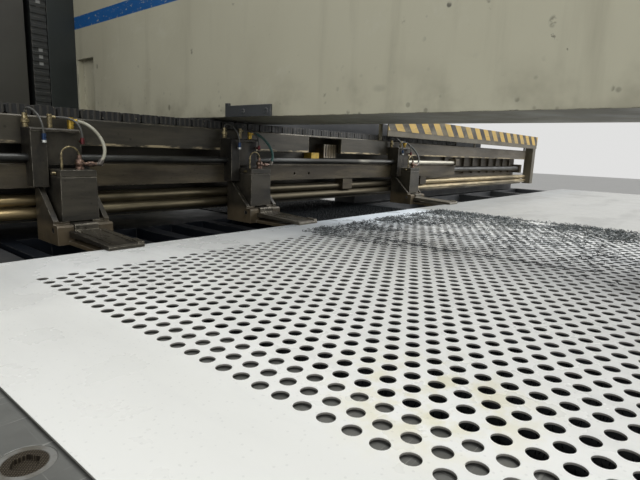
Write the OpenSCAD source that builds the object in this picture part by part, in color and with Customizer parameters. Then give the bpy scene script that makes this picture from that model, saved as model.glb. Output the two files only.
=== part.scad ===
// Turret punch press with a C frame. A cross beam under the upper arm carries three
// sheet clamps, and a perforated sheet lies in them over the tables.
// Floor at Z = 0, X along the cross beam, Y from the front to the column.

/* [Sheet] */
// Length of the sheet along the beam
sheet_l = 3600; // [2600:50:3650]
// Width of the sheet from its back edge to its front edge
sheet_w = 1500; // [1000:50:1600]
// Thickness of the sheet
sheet_t = 2; // [1:0.5:4]
// Height of the sheet's underside above the floor
pass_z = 948; // [940:2:960]
// Distance from the punch centre to the left edge of the sheet
sheet_left = 934; // [850:2:1000]
// Distance from the punch centre to the back edge of the sheet
sheet_back = 880; // [860:5:900]
// Hole spacing along Y
hole_pitch = 25; // [24:1:40]
// Hole column spacing as a share of the hole spacing
column_share = 0.893; // [0.87:0.001:1]
// Diameter of the punched holes
hole_d = 16; // [12:1:18]
// Plain margin between the sheet's edges and the hole field
hole_margin = 150; // [100:5:200]
// Length of the hole field along the beam
field_l = 1360; // [600:20:1700]
// One hole in this many is cut, along X and along Y
hole_step = 3; // [3:1:6]

/* [Frame] */
// Depth of the C frame from front to back
frame_depth = 3200; // [3200:20:3400]
// Width of the C frame across its side plates
frame_w = 320; // [300:10:360]
// Top of the C frame above the floor
frame_top = 2100; // [2050:10:2300]
// Height of the upper arm's underside above the pass line
arm_gap = 288; // [286:2:310]
// Top of the lower arm above the floor
lower_top = 800; // [780:5:805]
// Depth of the column behind the throat
column_depth = 440; // [400:10:480]
// Radius of the throat's inner corners
throat_r = 120; // [60:10:180]
// Height of the levelling feet
foot_h = 80; // [60:5:120]

/* [Turrets and ram] */
// Distance from the frame's front to the punch centre
punch_setback = 926; // [900:2:940]
// Pitch radius of the tool stations
station_r = 380; // [360:5:390]
// Number of tool stations
stations = 16; // [8:4:16]
// Outer radius of the turret discs
turret_r = 430; // [425:5:440]
// Thickness of the upper disc
upper_disc_t = 90; // [70:5:95]
// Thickness of the lower disc
lower_disc_t = 100; // [90:5:105]
// Radius of the tool guides and dies
tool_r = 35; // [32:1:40]
// Ram stroke
ram_stroke = 33; // [33:1:36]
// Radius of the ram's guided part
ram_r = 50; // [46:1:60]
// Radius of the turret shafts
shaft_r = 60; // [50:2:64]

/* [Cross beam] */
// Length of the beam
beam_l = 5380; // [5200:20:5400]
// Depth of the beam
beam_d = 240; // [220:5:250]
// Bottom of the beam above the pass line
beam_low = 22; // [20:1:24]
// Height of the beam's upper lip
lip_h = 62; // [58:1:64]
// Top of the beam above the pass line
beam_high = 259; // [256:1:260]
// Depth of the recess in the beam's front
recess_d = 77; // [74:1:82]
// Wall of the beam
beam_wall = 12; // [8:1:14]
// Radius of the upper clamp rail
rail_r_top = 12; // [10:0.5:12]
// Radius of the lower clamp rail
rail_r_low = 13; // [11:0.5:13]
// Length of the travelling clamp carriage
carriage_l = 2940; // [2700:20:2960]
// Diameter of the round bar through the clamps
bar_d = 18; // [14:1:20]
// Radius of the ball screws
screw_r = 16; // [12:1:17]

/* [Clamps] */
// Places of the clamps along X
clamp_at = [-582, -46, 885];
// Width of a clamp over its cheeks
clamp_w = 120; // [112:2:128]
// Thickness of a cheek
cheek_t = 11; // [8:1:12]
// Width of the jaws
jaw_w = 74; // [60:2:76]
// Thickness of the lower jaw
lower_jaw_t = 12; // [10:0.5:12]
// How far the jaws reach over the sheet
jaw_bite = 22; // [16:1:26]
// Diameter of the jaw pin
jaw_pin_d = 12; // [10:1:14]
// Width of the clamp cylinder
cylinder_w = 80; // [70:2:82]
// Height of the clamp cylinder
cylinder_h = 110; // [100:2:112]

/* [Tables] */
// Distance from the machine's middle to the side tables' ends
table_reach = 2750; // [2650:10:2760]
// Half width of the fixed centre table
centre_half = 700; // [660:5:700]
// Front edge of the tables, measured forward of the frame's middle
table_front = 1250; // [1200:10:1300]
// Depth of the table frames
table_h = 60; // [50:5:64]
// Diameter of the plate plugs
plug_d = 38; // [30:1:44]
// Spacing of the plate plugs
plug_pitch = 300; // [280:10:340]

/* [Guard] */
// Height of the guard's top above the pass line
guard_high = 362; // [350:2:380]
// Height of the guard's front
guard_h = 85; // [75:5:90]
// Height of the striped bar on the guard
stripe_h = 60; // [50:5:65]
// Left end of the right guard
guard_from = 738; // [700:2:800]

/* [Hidden] */
$fn = 48;

// Radial clearance of a running fit
fit = 0.05;
// Gap between pieces that slide past each other
gap = 0.3;
// Overshoot of a cutting shape
over = 2;

// Main planes
front_y = -frame_depth / 2;
back_y = frame_depth / 2;
column_y = back_y - column_depth;
arm_z = pass_z + arm_gap;
punch_y = front_y + punch_setback;
turret_y = punch_y - station_r;
sheet_y = punch_y + sheet_back;
sheet_top = pass_z + sheet_t;
plate_z = pass_z - 2;
lane_z = pass_z - 22;

// Turret levels
guide_low = pass_z + 27;
disc_low = guide_low + 75;
disc_high = disc_low + upper_disc_t;
guide_high = disc_high + 10;
head_low = guide_high + ram_stroke + 7;
head_high = head_low + 20;
ram_low = head_high + 0.5;
flange_t = 30;
lower_disc_high = pass_z - 18;
lower_disc_low = lower_disc_high - lower_disc_t;
die_high = pass_z - 0.6;
die_seat = lower_disc_high - 15;
punch_r = hole_d / 2 - 0.1;
index_r = 300;
index_pin_r = 20;
index_gap = 5;

// Beam planes and levels
beam_y = sheet_y + 277;
beam_back = beam_y + beam_d;
beam_z0 = pass_z + beam_low;
beam_z1 = pass_z + beam_high;
lip_z = beam_z1 - lip_h;
recess_y = beam_y + recess_d;
shelf_y = beam_y + 17;
rail_y_top = beam_y + 9;
rail_z_top = pass_z + 72;
rail_y_low = beam_y + 5;
rail_z_low = pass_z + 43;
bar_y = beam_y - 31;
bar_z = pass_z + 168;
plate_y0 = beam_y - 19;
plate_y1 = beam_y + 1;
plate_low = pass_z + 102;
plate_high = pass_z + 155;
screw_y = beam_y + 41;
screw_z = pass_z + 130;
block_at = [-1130, 505, 1130];

// Saddles and Y drive
saddle_x = 820;
base_top = 640;
rail_h = 30;
saddle_y0 = beam_y - 43;
saddle_y1 = beam_y + 387;
upright_w = 140;
table_back = beam_y + 107;
table_rear = column_y - 60;
y_screw_z = 780;

// Clamp levels, measured from the pass line
jaw_pivot_y = sheet_y + 174;
jaw_pivot_z = pass_z + 18;
cheek_y = sheet_y + 170;
spine_y = beam_y - 43;
cylinder_y0 = sheet_y + 174;
cylinder_z = pass_z + 35;
bracket_high = pass_z + 232;
// Half width of the jaw's eye on its pin
jaw_eye = 25;

// Cabinet length and the planes of its cable duct, from the C frame's side
cabinet_l = 1395;
duct = [177, 155, 101, 99];

// Console
console_x = 700;
console_y = front_y + 140;
console_z = 1400;

function arc_points(cx, cy, r, a0, a1, n) =
  [for (i = [0:n]) [cx + r * cos(a0 + (a1 - a0) * i / n), cy + r * sin(a0 + (a1 - a0) * i / n)]];

// Box between two corners
module block(x0, x1, y0, y1, z0, z1) {
  translate([x0, y0, z0]) cube([x1 - x0, y1 - y0, z1 - z0]);
}

// Extrusion along X of a Y-Z outline
module along_x(x0, x1) {
  translate([x0, 0, 0]) rotate([90, 0, 90]) linear_extrude(x1 - x0) children();
}

// Extrusion along Y of an X-Z outline
module along_y(y0, y1) {
  translate([0, y1, 0]) rotate([90, 0, 0]) linear_extrude(y1 - y0) children();
}

// Upright extrusion of an X-Y outline
module along_z(z0, z1) {
  translate([0, 0, z0]) linear_extrude(z1 - z0) children();
}

module upright_rod(x, y, z0, z1, r) {
  translate([x, y, z0]) cylinder(h = z1 - z0, r = r);
}

module rod_x(x0, x1, y, z, r) {
  translate([x0, y, z]) rotate([0, 90, 0]) cylinder(h = x1 - x0, r = r);
}

module rod_y(x, y0, y1, z, r) {
  translate([x, y1, z]) rotate([90, 0, 0]) cylinder(h = y1 - y0, r = r);
}

// Square with round corners, from one corner
module round_square(w, h, r) {
  translate([r, 0]) square([w - 2 * r, h]);
  translate([0, r]) square([w, h - 2 * r]);
  for (x = [r, w - r]) for (y = [r, h - r]) translate([x, y]) circle(r);
}

module at_stations(first) {
  for (i = [first:stations - 1])
    translate([0, turret_y, 0]) rotate([0, 0, i * 360 / stations]) translate([0, station_r, 0])
      children();
}

module at_index_holes() {
  for (i = [0:stations - 1])
    translate([0, turret_y, 0]) rotate([0, 0, i * 360 / stations]) translate([0, -index_r, 0])
      children();
}

// C frame: one welded body with its bores and the pocket in its side
module frame_outline() {
  difference() {
    polygon([[front_y, foot_h], [back_y, foot_h], [back_y, frame_top - 90],
      [back_y - 90, frame_top], [front_y + 160, frame_top], [front_y, frame_top - 260]]);
    translate([front_y - 2 * throat_r, lower_top])
      round_square(column_y - front_y + 2 * throat_r, arm_z - lower_top, throat_r);
  }
}

module c_frame() {
  half = frame_w / 2;
  color("antiquewhite")
  difference() {
    union() {
      along_x(-half, half) frame_outline();
      // Lug with the hinge pin of the console arm
      block(half, half + 90, console_y - 35, console_y + 35, 1800, 1830);
      upright_rod(half + 70, console_y, 1830, 1970, 20 - fit);
    }
    upright_rod(0, punch_y, arm_z - over, arm_z + 364, ram_r);
    upright_rod(0, punch_y, arm_z, frame_top + over, 31);
    upright_rod(0, turret_y, arm_z - over, arm_z + 264, 100);
    upright_rod(0, turret_y, arm_z, frame_top + over, shaft_r + 2);
    upright_rod(0, turret_y, lower_top - 400, lower_top + over, 100);
    upright_rod(0, turret_y - index_r, arm_z - over, arm_z + 170, index_pin_r + fit);
    upright_rod(0, turret_y - index_r, lower_top - 165, lower_top + over, index_pin_r + fit);
    // Pocket in the side of the column
    block(-half - over, -half + 25, column_y + 20, column_y + 150, pass_z + 322, pass_z + 517);
  }
}

module levelling_feet() {
  color("dimgray")
  for (x = [-frame_w / 3.5, frame_w / 3.5]) for (y = [front_y + 180, 0, back_y - 180]) {
    upright_rod(x, y, 0, 22, 60);
    upright_rod(x, y, 22, foot_h, 28);
  }
}

// Plate on the lower edge of the arm with a lug and two slotted screws
module arm_bracket() {
  y0 = sheet_y + 15;
  y1 = y0 + 180;
  x0 = -frame_w / 2;
  color("slategray")
  difference() {
    union() {
      block(x0 - 6, x0, y0, y1, arm_z, arm_z + 30);
      block(x0 - 6, x0, y1 - 16, y1, arm_z + 30 - over, arm_z + 37);
      for (y = [y0 + 16, y0 + 105]) rod_x(x0 - 9, x0 - 5, y, arm_z + 14, 7);
    }
    for (y = [y0 + 16, y0 + 105])
      block(x0 - 10, x0 - 7.5, y - 8, y + 8, arm_z + 13, arm_z + 15);
  }
}

module ram_cylinder() {
  z = frame_top;
  color("gainsboro")
  translate([0, punch_y, 0]) rotate_extrude()
    polygon([[30 + fit, z], [150, z], [150, z + 30], [118, z + 45], [118, z + 290],
      [104, z + 310], [0, z + 310], [0, z + 285], [60, z + 285], [60, z + 30], [30 + fit, z + 30]]);
}

module turret_housings() {
  color("silver") {
    translate([0, turret_y, 0]) rotate_extrude()
      polygon([[shaft_r + fit, arm_z - flange_t], [150, arm_z - flange_t],
        [170, arm_z - flange_t + 8], [170, arm_z], [100 - fit, arm_z],
        [100 - fit, arm_z + 260], [shaft_r + fit, arm_z + 260]]);
    translate([0, turret_y, 0]) rotate_extrude()
      polygon([[shaft_r + fit, lower_top - 395], [100 - fit, lower_top - 395],
        [100 - fit, lower_top], [170, lower_top], [150, lower_top + 20],
        [shaft_r + fit, lower_top + 20]]);
  }
}

module turret_motor() {
  z = frame_top;
  color("dimgray") {
    upright_rod(0, turret_y, z, z + 110, 100);
    along_z(z + 110, z + 320)
      difference() {
        translate([-80, turret_y - 80]) round_square(160, 160, 20);
        for (a = [0:90:270]) for (o = [-48:16:48])
          translate([0, turret_y]) rotate(a) translate([o - 3, 72]) square([6, 10]);
      }
  }
}

// Two closed girders with outer ribs, which carry the Y rails
module y_bases() {
  y0 = front_y + 900;
  y1 = column_y + 130;
  half = 60;
  wall = 12;
  color("lightgray")
  for (s = [-1, 1]) translate([s * saddle_x, 0, 0]) difference() {
    union() {
      block(-half, half, y0, y1, 0, base_top);
      block(-half - 40, half + 40, y0, y1, 0, 20);
      block(-half - 10, half + 10, y0, y1, base_top - 20, base_top);
      for (y = [y0 + 60:290:y1 - 40])
        block(-half - 9, half + 9, y, y + 14, 20 - over, base_top - 20 + over);
    }
    block(-half + wall, half - wall, y0 + wall, y1 - wall, wall, base_top - 20);
  }
}

module rail_outline(grow) {
  polygon([[-17 - grow, -over], [-17 - grow, 11 - grow], [-12 - grow, 16], [-17 - grow, 21 - grow],
    [-17 - grow, rail_h + grow], [17 + grow, rail_h + grow], [17 + grow, 21 - grow],
    [12 + grow, 16], [17 + grow, 11 - grow], [17 + grow, -over]]);
}

module y_rails() {
  color("silver")
  for (s = [-1, 1]) translate([s * saddle_x, 0, base_top])
    along_y(front_y + 940, column_y + 95)
      intersection() {
        rail_outline(0);
        translate([-40, 0]) square([80, 80]);
      }
}

// Fixed table round the lower turret: plate, ribs, open slats behind and four legs
module centre_table() {
  half = centre_half;
  low = lane_z - table_h;
  color("gray") {
    difference() {
      along_z(low, lane_z) difference() {
        translate([-half, -table_front]) square([2 * half, table_front + table_rear]);
        translate([0, turret_y]) circle(r = turret_r + 20, $fn = 96);
        // Open field behind the sheet with bars along Y
        difference() {
          translate([-half + 30, sheet_y - 30]) square([half - 60, table_back - sheet_y - 30]);
          for (x = [-half + 110:110:-60]) translate([x, sheet_y - 40]) square([36, 400]);
        }
      }
      // Hollow underside between the ribs
      for (s = [-1, 1]) for (y = [-table_front + 30:220:sheet_y - 230])
        if (y > turret_y + turret_r + 20 || y < -table_front + 31)
          block(s * half / 2 - half / 2 + 60, s * half / 2 + half / 2 - 60, y, y + 180,
            low - over, lane_z - 10);
      for (s = [-1, 1]) for (y = [table_back - 30, table_back + 225])
        block(s * half / 2 - half / 2 + 60, s * half / 2 + half / 2 - 60, y, y + 225,
          low - over, lane_z - 10);
    }
    // Blocks that stand on the lower arm
    for (y = [sheet_y - 640, sheet_y - 200])
      block(-frame_w / 2 + 20, frame_w / 2 - 20, y, y + 50, lower_top, low + over);
    for (x = [-half + 50, half - 50]) for (y = [-table_front + 50, table_rear - 50])
      difference() {
        block(x - 40, x + 40, y - 40, y + 40, 0, low);
        block(x - 34, x + 34, y - 34, y + 34, -over, low - 12);
      }
  }
}

// Pads whose ridges stand for rows of bristles
module bristle_pad(x0, x1, y0, y1) {
  ridge = 10;
  z = lane_z;
  n = floor((y1 - y0 - 4) / ridge);
  top = pass_z - lower_jaw_t - gap;
  along_x(x0, x1)
    polygon(concat([[y0, z], [y0, z + 3]],
      [for (i = [0:n - 1]) for (p = [0:2])
        [y0 + 2 + (i + p * 0.45) * ridge, p == 1 ? top : z + 3]],
      [[y1, z + 3], [y1, z]]));
}

module brush_pads() {
  color([0.08, 0.08, 0.09]) {
    bristle_pad(20, centre_half - 10, sheet_y - 40, table_rear - 20);
    for (s = [-1, 1]) {
      x = s > 0 ? turret_r + 40 : -centre_half + 10;
      bristle_pad(x, x + centre_half - turret_r - 50, turret_y - 160, sheet_y - 60);
    }
    bristle_pad(-turret_r + 30, turret_r - 30, turret_y + turret_r + 30, sheet_y - 60);
  }
}

// Control cabinet beside the column, with its cable duct and its front post
module cabinet() {
  x1 = -frame_w / 2;
  y0 = column_y + 160;
  y1 = back_y - 25;
  duct_z = 2000;
  color("dimgray") {
    along_z(60, duct_z)
      polygon([[x1 - cabinet_l, y0], [x1 - duct[0], y0], [x1 - duct[0], y1 - 60],
        [x1 - duct[1], y1 - 60], [x1 - duct[1], y0 + 4], [x1 - duct[2], y0 + 4],
        [x1 - duct[2], y1 - 60], [x1 - duct[3], y1 - 60], [x1 - duct[3], y0], [x1, y0],
        [x1, y1], [x1 - cabinet_l, y1]]);
    // Plinth
    along_z(0, 60) translate([x1 - cabinet_l + 20, y0 + 20]) square([cabinet_l - 40, y1 - y0 - 40]);
    // Cross ribs of the cable duct
    for (z = [120:24:duct_z - 40]) block(x1 - duct[1], x1 - duct[2], y0 + 1, y0 + 4, z, z + 12);
  }
}

module cabinet_door() {
  x0 = -frame_w / 2 - cabinet_l + 20;
  y = back_y - 25;
  color("lightslategray") {
    difference() {
      block(x0 + 20, x0 + 680, y + gap, y + 22, 100, 1960);
      block(x0 + 560, x0 + 640, y + 16, y + 30, 950, 1150);
    }
    block(x0 + 585, x0 + 615, y + 16, y + 24.7, 980, 1120);
    for (z = [300, 1700]) upright_rod(x0 + 10, y + 12, z, z + 90, 9);
    for (z = [300, 1700]) block(x0 + 10, x0 + 24, y + 8, y + 16, z, z + 90);
  }
}

// Oil tank with the pump, two filters and two pipes into the column
module hydraulic_unit() {
  x0 = frame_w / 2 + 60;
  y0 = column_y + 190;
  w = 440;
  d = 220;
  tank_h = 620;
  pump_z = tank_h + 100;
  color("steelblue") {
    difference() {
      along_z(0, tank_h) translate([x0, y0]) round_square(w, d, 25);
      for (z = [90:60:tank_h - 100]) block(x0 - over, x0 + 6, y0 + 30, y0 + d - 30, z, z + 30);
      for (z = [90:60:tank_h - 100]) block(x0 + 40, x0 + w - 40, y0 - over, y0 + 6, z, z + 30);
    }
    rod_x(x0 + 60, x0 + 330, y0 + d / 2, pump_z, 82);
    rod_x(x0 + 330, x0 + 350, y0 + d / 2, pump_z, 95);
    block(x0 + 80, x0 + 310, y0 + 60, y0 + d - 60, tank_h, pump_z - 60);
    upright_rod(x0 + 385, y0 + 60, tank_h, tank_h + 160, 32);
    upright_rod(x0 + 385, y0 + d - 60, tank_h, tank_h + 140, 28);
    for (y = [y0 + 60, y0 + d - 70]) rod_x(frame_w / 2, x0 + 30, y, tank_h - 60, 14);
  }
}

// Motor of the Y screw and the screw's two bearing stands on the right girder
module y_drive() {
  y = column_y + 130;
  w = 130;
  color("dimgray") {
    rod_y(saddle_x, y, y + 40, y_screw_z, w / 2 - 3);
    along_y(y + 40, y + 190) difference() {
      translate([saddle_x - w / 2, y_screw_z - w / 2]) round_square(w, w, 18);
      for (a = [0:90:270]) for (o = [-39:13:39])
        translate([saddle_x, y_screw_z]) rotate(a) translate([o - 2.5, w / 2 - 7]) square([5, 10]);
    }
    for (y1 = [front_y + 930, y]) difference() {
      block(saddle_x - 30, saddle_x + 30, y1 - 30, y1, base_top, y_screw_z + 30);
      rod_y(saddle_x, y1 - 30 - over, y1 + over, y_screw_z, screw_r + fit);
    }
  }
}

module upper_turret() {
  color("darkgray")
  difference() {
    translate([0, turret_y, 0]) rotate_extrude($fn = 96)
      polygon([[0, disc_low], [turret_r - 12, disc_low], [turret_r, disc_low + 12],
        [turret_r, disc_high - 12], [turret_r - 12, disc_high], [150, disc_high],
        [130, arm_z - flange_t - 0.5], [shaft_r, arm_z - flange_t - 0.5],
        [shaft_r, frame_top - 5], [0, frame_top - 5]]);
    at_stations(0) translate([0, 0, disc_low - over])
      cylinder(h = upper_disc_t + 2 * over, r = tool_r + fit);
    at_index_holes() translate([0, 0, disc_high - 50]) cylinder(h = 60, r = index_pin_r + fit);
  }
}

module lower_turret() {
  color("darkgray")
  difference() {
    translate([0, turret_y, 0]) rotate_extrude($fn = 96)
      polygon([[0, lower_top - 390], [shaft_r, lower_top - 390], [shaft_r, lower_top + 20.5],
        [110, lower_top + 20.5], [130, lower_disc_low], [turret_r, lower_disc_low],
        [turret_r, lower_disc_high - 8], [turret_r - 8, lower_disc_high], [0, lower_disc_high]]);
    at_stations(0) {
      translate([0, 0, die_seat]) cylinder(h = 30, r = tool_r + fit);
      translate([0, 0, lower_disc_low - over]) cylinder(h = lower_disc_t, r = 15);
    }
    at_index_holes() translate([0, 0, lower_disc_low - over])
      cylinder(h = 50 + over, r = index_pin_r + fit);
  }
}

module tool_guides() {
  color("slategray")
  at_stations(0) rotate_extrude($fn = 32)
    polygon([[punch_r + 0.1, guide_low], [tool_r - 4, guide_low], [tool_r, guide_low + 4],
      [tool_r, disc_high], [tool_r + 7, disc_high], [tool_r + 7, guide_high],
      [20 + fit, guide_high], [20 + fit, guide_low + 8], [punch_r + 0.1, guide_low + 8]]);
}

module dies() {
  color("slategray")
  at_stations(0) rotate_extrude($fn = 32)
    polygon([[14, die_seat], [tool_r, die_seat], [tool_r, die_high - 3], [tool_r - 3, die_high],
      [punch_r + 0.3, die_high], [punch_r + 0.3, die_high - 6], [14, die_high - 6]]);
}

module punch_body() {
  rotate_extrude($fn = 32)
    polygon([[0, guide_low + 2], [punch_r, guide_low + 2], [punch_r, guide_low + 45],
      [20, guide_low + 50], [20, head_low], [30, head_low], [30, head_high - 3],
      [27, head_high], [0, head_high]]);
}

module station_punches() {
  color("silver") at_stations(1) punch_body();
}

module active_punch() {
  color("silver") translate([0, punch_y, 0]) punch_body();
}

module ram() {
  color("lightgray")
  translate([0, punch_y, 0]) rotate_extrude()
    polygon([[0, ram_low], [38, ram_low], [38, arm_z - 4], [ram_r - fit, arm_z + 6],
      [ram_r - fit, arm_z + 320], [30, arm_z + 324], [30, frame_top + 100],
      [60 - fit, frame_top + 100], [60 - fit, frame_top + 150], [0, frame_top + 150]]);
}

module index_pin_upper() {
  z = disc_high + index_gap;
  color("silver")
  translate([0, turret_y - index_r, 0]) rotate_extrude()
    polygon([[0, z], [index_pin_r - 3, z], [index_pin_r, z + 5], [index_pin_r, arm_z + 160],
      [0, arm_z + 160]]);
}

module index_pin_lower() {
  z = lower_disc_low - index_gap;
  color("silver")
  translate([0, turret_y - index_r, 0]) rotate_extrude()
    polygon([[0, lower_top - 155], [index_pin_r, lower_top - 155], [index_pin_r, z - 5],
      [index_pin_r - 3, z], [0, z]]);
}

// Cross beam: a hollow section with an upper lip, a recess and a lower shelf
module x_beam() {
  half = beam_l / 2;
  w = beam_wall;
  color("dimgray")
  difference() {
    union() {
      along_x(-half, half) difference() {
        polygon([[beam_y, lip_z], [beam_y, beam_z1 - 3], [beam_y + 3, beam_z1],
          [beam_back, beam_z1], [beam_back, beam_z0], [shelf_y, beam_z0],
          [shelf_y, beam_z0 + w], [recess_y, beam_z0 + w], [recess_y, lip_z]]);
        translate([recess_y + w, beam_z0 + w])
          square([beam_back - recess_y - 2 * w, beam_z1 - beam_z0 - 2 * w]);
      }
      // Ribs on the recess wall beyond the carriage
      for (s = [-1, 1]) for (x = [1520:130:half - 60])
        block(s * x - 8, s * x + 8, recess_y - 14, recess_y + over, plate_low, lip_z);
      // Bearing lugs of the screw
      for (s = [-1, 1])
        block(s * (half - 25) - 15, s * (half - 25) + 15, screw_y - 26, recess_y + over,
          screw_z - 30, screw_z + 28);
    }
    // Window in the lip, right of the middle clamp, wider behind its front wall
    block(281, 473, beam_y - over, recess_y, lip_z - over, pass_z + 252);
    block(281, 492, beam_y + 12, recess_y, lip_z - over, pass_z + 252);
    rod_x(-half - over, half + over, screw_y, screw_z, screw_r + fit);
  }
}

// Saddles: sliders on the rails, a plate, an upright up to the beam and a gusset
module beam_saddles() {
  z0 = base_top + rail_h + 30;
  half = upright_w / 2;
  color("gray")
  difference() {
    union() for (s = [-1, 1]) translate([s * saddle_x, 0, 0]) {
      for (y = [saddle_y0 + 10, saddle_y1 - 120]) translate([0, 0, base_top])
        along_y(y, y + 110) difference() {
          translate([-45, 6]) square([90, rail_h + 24]);
          rail_outline(gap);
        }
      block(-80, 80, saddle_y0, saddle_y1, z0, z0 + 20);
      block(-half, half, table_back, beam_back, z0 + 20, beam_z0);
      along_x(-10, 10)
        polygon([[beam_back, z0 + 20], [saddle_y1 - 10, z0 + 20], [beam_back, beam_z0 - 60]]);
    }
    rod_y(saddle_x, saddle_y0, saddle_y1, y_screw_z, screw_r + fit);
  }
}

// Two round rails with webs on a mounting bar
module x_rails() {
  reach = beam_l / 2 + 40;
  color("silver")
  along_x(-reach, reach) {
    translate([rail_y_top, rail_z_top]) circle(rail_r_top);
    translate([rail_y_top, rail_z_top - 4]) square([recess_y - rail_y_top, 8]);
    translate([rail_y_low, rail_z_low]) circle(rail_r_low);
    translate([rail_y_low, rail_z_low - 4]) square([recess_y - rail_y_low, 8]);
    translate([beam_y + 32, beam_z0 + beam_wall])
      square([recess_y - beam_y - 32, rail_z_top + 10 - beam_z0 - beam_wall]);
  }
}

// Energy chain: links on a core, along the beam, round a bend and back
module chain_link(l) {
  rotate([90, 0, 0]) translate([0, 0, -20]) linear_extrude(40)
    polygon([[-l / 2, 3], [-l / 2 + 4, 0], [l / 2 - 4, 0], [l / 2, 3], [l / 2, 19],
      [l / 2 - 4, 22], [-l / 2 + 4, 22], [-l / 2, 19]]);
}

module energy_chain() {
  link = 48;
  pitch = 52;
  bend_x = 1500;
  bend_r = 75;
  y0 = beam_y + 28;
  x0 = -2500;
  n = floor((bend_x - x0) / pitch);
  color([0.06, 0.06, 0.07])
  translate([0, 0, beam_z1]) {
    translate([x0, y0 - 14, 4]) cube([bend_x - x0, 28, 14]);
    translate([0, y0 + 2 * bend_r - 14, 4]) cube([bend_x, 28, 14]);
    translate([bend_x, y0 + bend_r, 4]) rotate([0, 0, -90])
      rotate_extrude(angle = 180) translate([bend_r - 14, 0]) square([28, 14]);
    for (i = [0:n - 1]) translate([x0 + (i + 0.5) * pitch, y0, 0]) chain_link(link);
    for (i = [0:floor(bend_x / pitch) - 1])
      translate([(i + 0.5) * pitch, y0 + 2 * bend_r, 0]) chain_link(link);
    for (a = [-60:40:60])
      translate([bend_x, y0 + bend_r, 0]) rotate([0, 0, a]) translate([bend_r, 0, 0])
        rotate([0, 0, 90]) chain_link(36);
  }
}

// Guards over both ends of the beam: folded covers, brackets and end posts
module guard_frame() {
  y0 = beam_y - 43;
  z1 = pass_z + guard_high;
  end = beam_l / 2 + 100;
  color("dimgray")
  for (s = [[guard_from, 1, z1 - guard_h], [900, -1, z1 - guard_h + 14]]) {
    x0 = s[1] > 0 ? s[0] : -end;
    x1 = s[1] > 0 ? end : -s[0];
    z0 = s[2];
    along_x(x0, x1)
      polygon([[y0, z0], [y0, z1], [beam_y + 37, z1], [beam_y + 37, z1 - 4], [y0 + 4, z1 - 4],
        [y0 + 4, z0]]);
    post = s[1] * (end - 30);
    block(post - 30, post + 30, y0 + 4, beam_y + 17, pass_z + 22, z1 - 4);
    // Brackets from the top of the beam
    for (x = [s[0] + 12, (s[0] + end) / 2, end - 130])
      block(s[1] * x - 10, s[1] * x + 10, beam_y, beam_y + 6, beam_z1, z1 - 4);
  }
  // Rear wall of the chain's trough, right of the arm
  color("dimgray")
  block(frame_w / 2 + 20, guard_from, beam_back - 39, beam_back - 35, beam_z1, pass_z + 330);
}

module hazard_bar() {
  z1 = pass_z + guard_high;
  y0 = beam_y - 43;
  color("gold")
  block(guard_from, beam_l / 2 + 100, y0 - 1.5, y0, z1 - stripe_h, z1);
}

// Side tables: ladder frames on the saddles, with a lowered lane for the clamps and an
// apron up to the beam behind it
module side_tables() {
  x0 = centre_half + 20;
  lane_y = sheet_y - 60;
  cells = 4;
  cell = (table_reach - x0 - 50) / cells;
  color("gray")
  for (s = [0, 1]) mirror([s, 0, 0]) {
    difference() {
      along_x(x0, table_reach)
        polygon([[-table_front, lane_z - table_h], [-table_front, plate_z - 6],
          [lane_y, plate_z - 6], [lane_y, lane_z], [table_back - 6, lane_z],
          [table_back - 6, beam_z0 - 1], [table_back, beam_z0 - 1],
          [table_back, lane_z - table_h]]);
      for (i = [0:cells - 1]) for (y = [-table_front + 60, -table_front + 510])
        block(x0 + 50 + i * cell, x0 + i * cell + cell, y, y + 400,
          lane_z - table_h - over, plate_z);
      for (i = [0:cells - 1])
        block(x0 + 50 + i * cell, x0 + i * cell + cell, -table_front + 960, lane_y - 50,
          lane_z - table_h - over, plate_z);
      for (i = [0:cells - 1])
        block(x0 + 50 + i * cell, x0 + i * cell + cell, lane_y + 40, table_back - 60,
          lane_z - table_h - over, plate_z);
    }
  }
}

module table_plates() {
  x0 = centre_half + 20;
  color("darkgray")
  for (s = [0, 1]) mirror([s, 0, 0])
    along_z(plate_z - 6, plate_z) difference() {
      translate([x0, -table_front]) square([table_reach - x0, table_front + sheet_y - 60]);
      for (x = [955:plug_pitch:table_reach - 60]) for (k = [-2:1])
        translate([x, -374 + k * plug_pitch]) circle(plug_d / 2 + fit);
    }
}

module plate_plugs() {
  color("gray")
  for (s = [-1, 1]) for (x = [955:plug_pitch:table_reach - 60]) for (k = [-2:1])
    translate([s * x, -374 + k * plug_pitch, plate_z - 6]) difference() {
      cylinder(h = 5.6, r = plug_d / 2 - fit);
      translate([0, 0, 2]) cylinder(h = 6, r = plug_d / 4, $fn = 6);
    }
}

// Motor behind the beam and the housing of its belt at the beam's left end
module x_motor() {
  x0 = -beam_l / 2 - 70;
  x1 = -beam_l / 2;
  color("dimgray") {
    along_x(x0, x1) translate([beam_y + 19, screw_z - 42]) round_square(330, 84, 38);
    along_x(x1, x1 + 190) difference() {
      translate([beam_back + 1, screw_z - 54]) round_square(108, 108, 14);
      for (a = [0:90:270]) for (o = [-33:11:33])
        translate([beam_back + 55, screw_z]) rotate(a) translate([o - 2, 49]) square([4, 10]);
    }
  }
}

module beam_sensors() {
  color("gold") block(342, 386, recess_y - 38, recess_y, pass_z + 173, pass_z + 197);
  color("lightgray")
  difference() {
    block(408, 486, recess_y - 43, recess_y, pass_z + 178, pass_z + 230);
    for (x = [417:13:475]) block(x, x + 5, recess_y - 45, recess_y - 40, pass_z + 184, pass_z + 224);
  }
}

module x_screw() {
  half = beam_l / 2;
  color("silver") rod_x(-half + 0.5, half - 5, screw_y, screw_z, screw_r);
}

module y_screw() {
  color("silver")
  rod_y(saddle_x, front_y + 890, column_y + 130 - 0.5, y_screw_z, screw_r);
}

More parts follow.
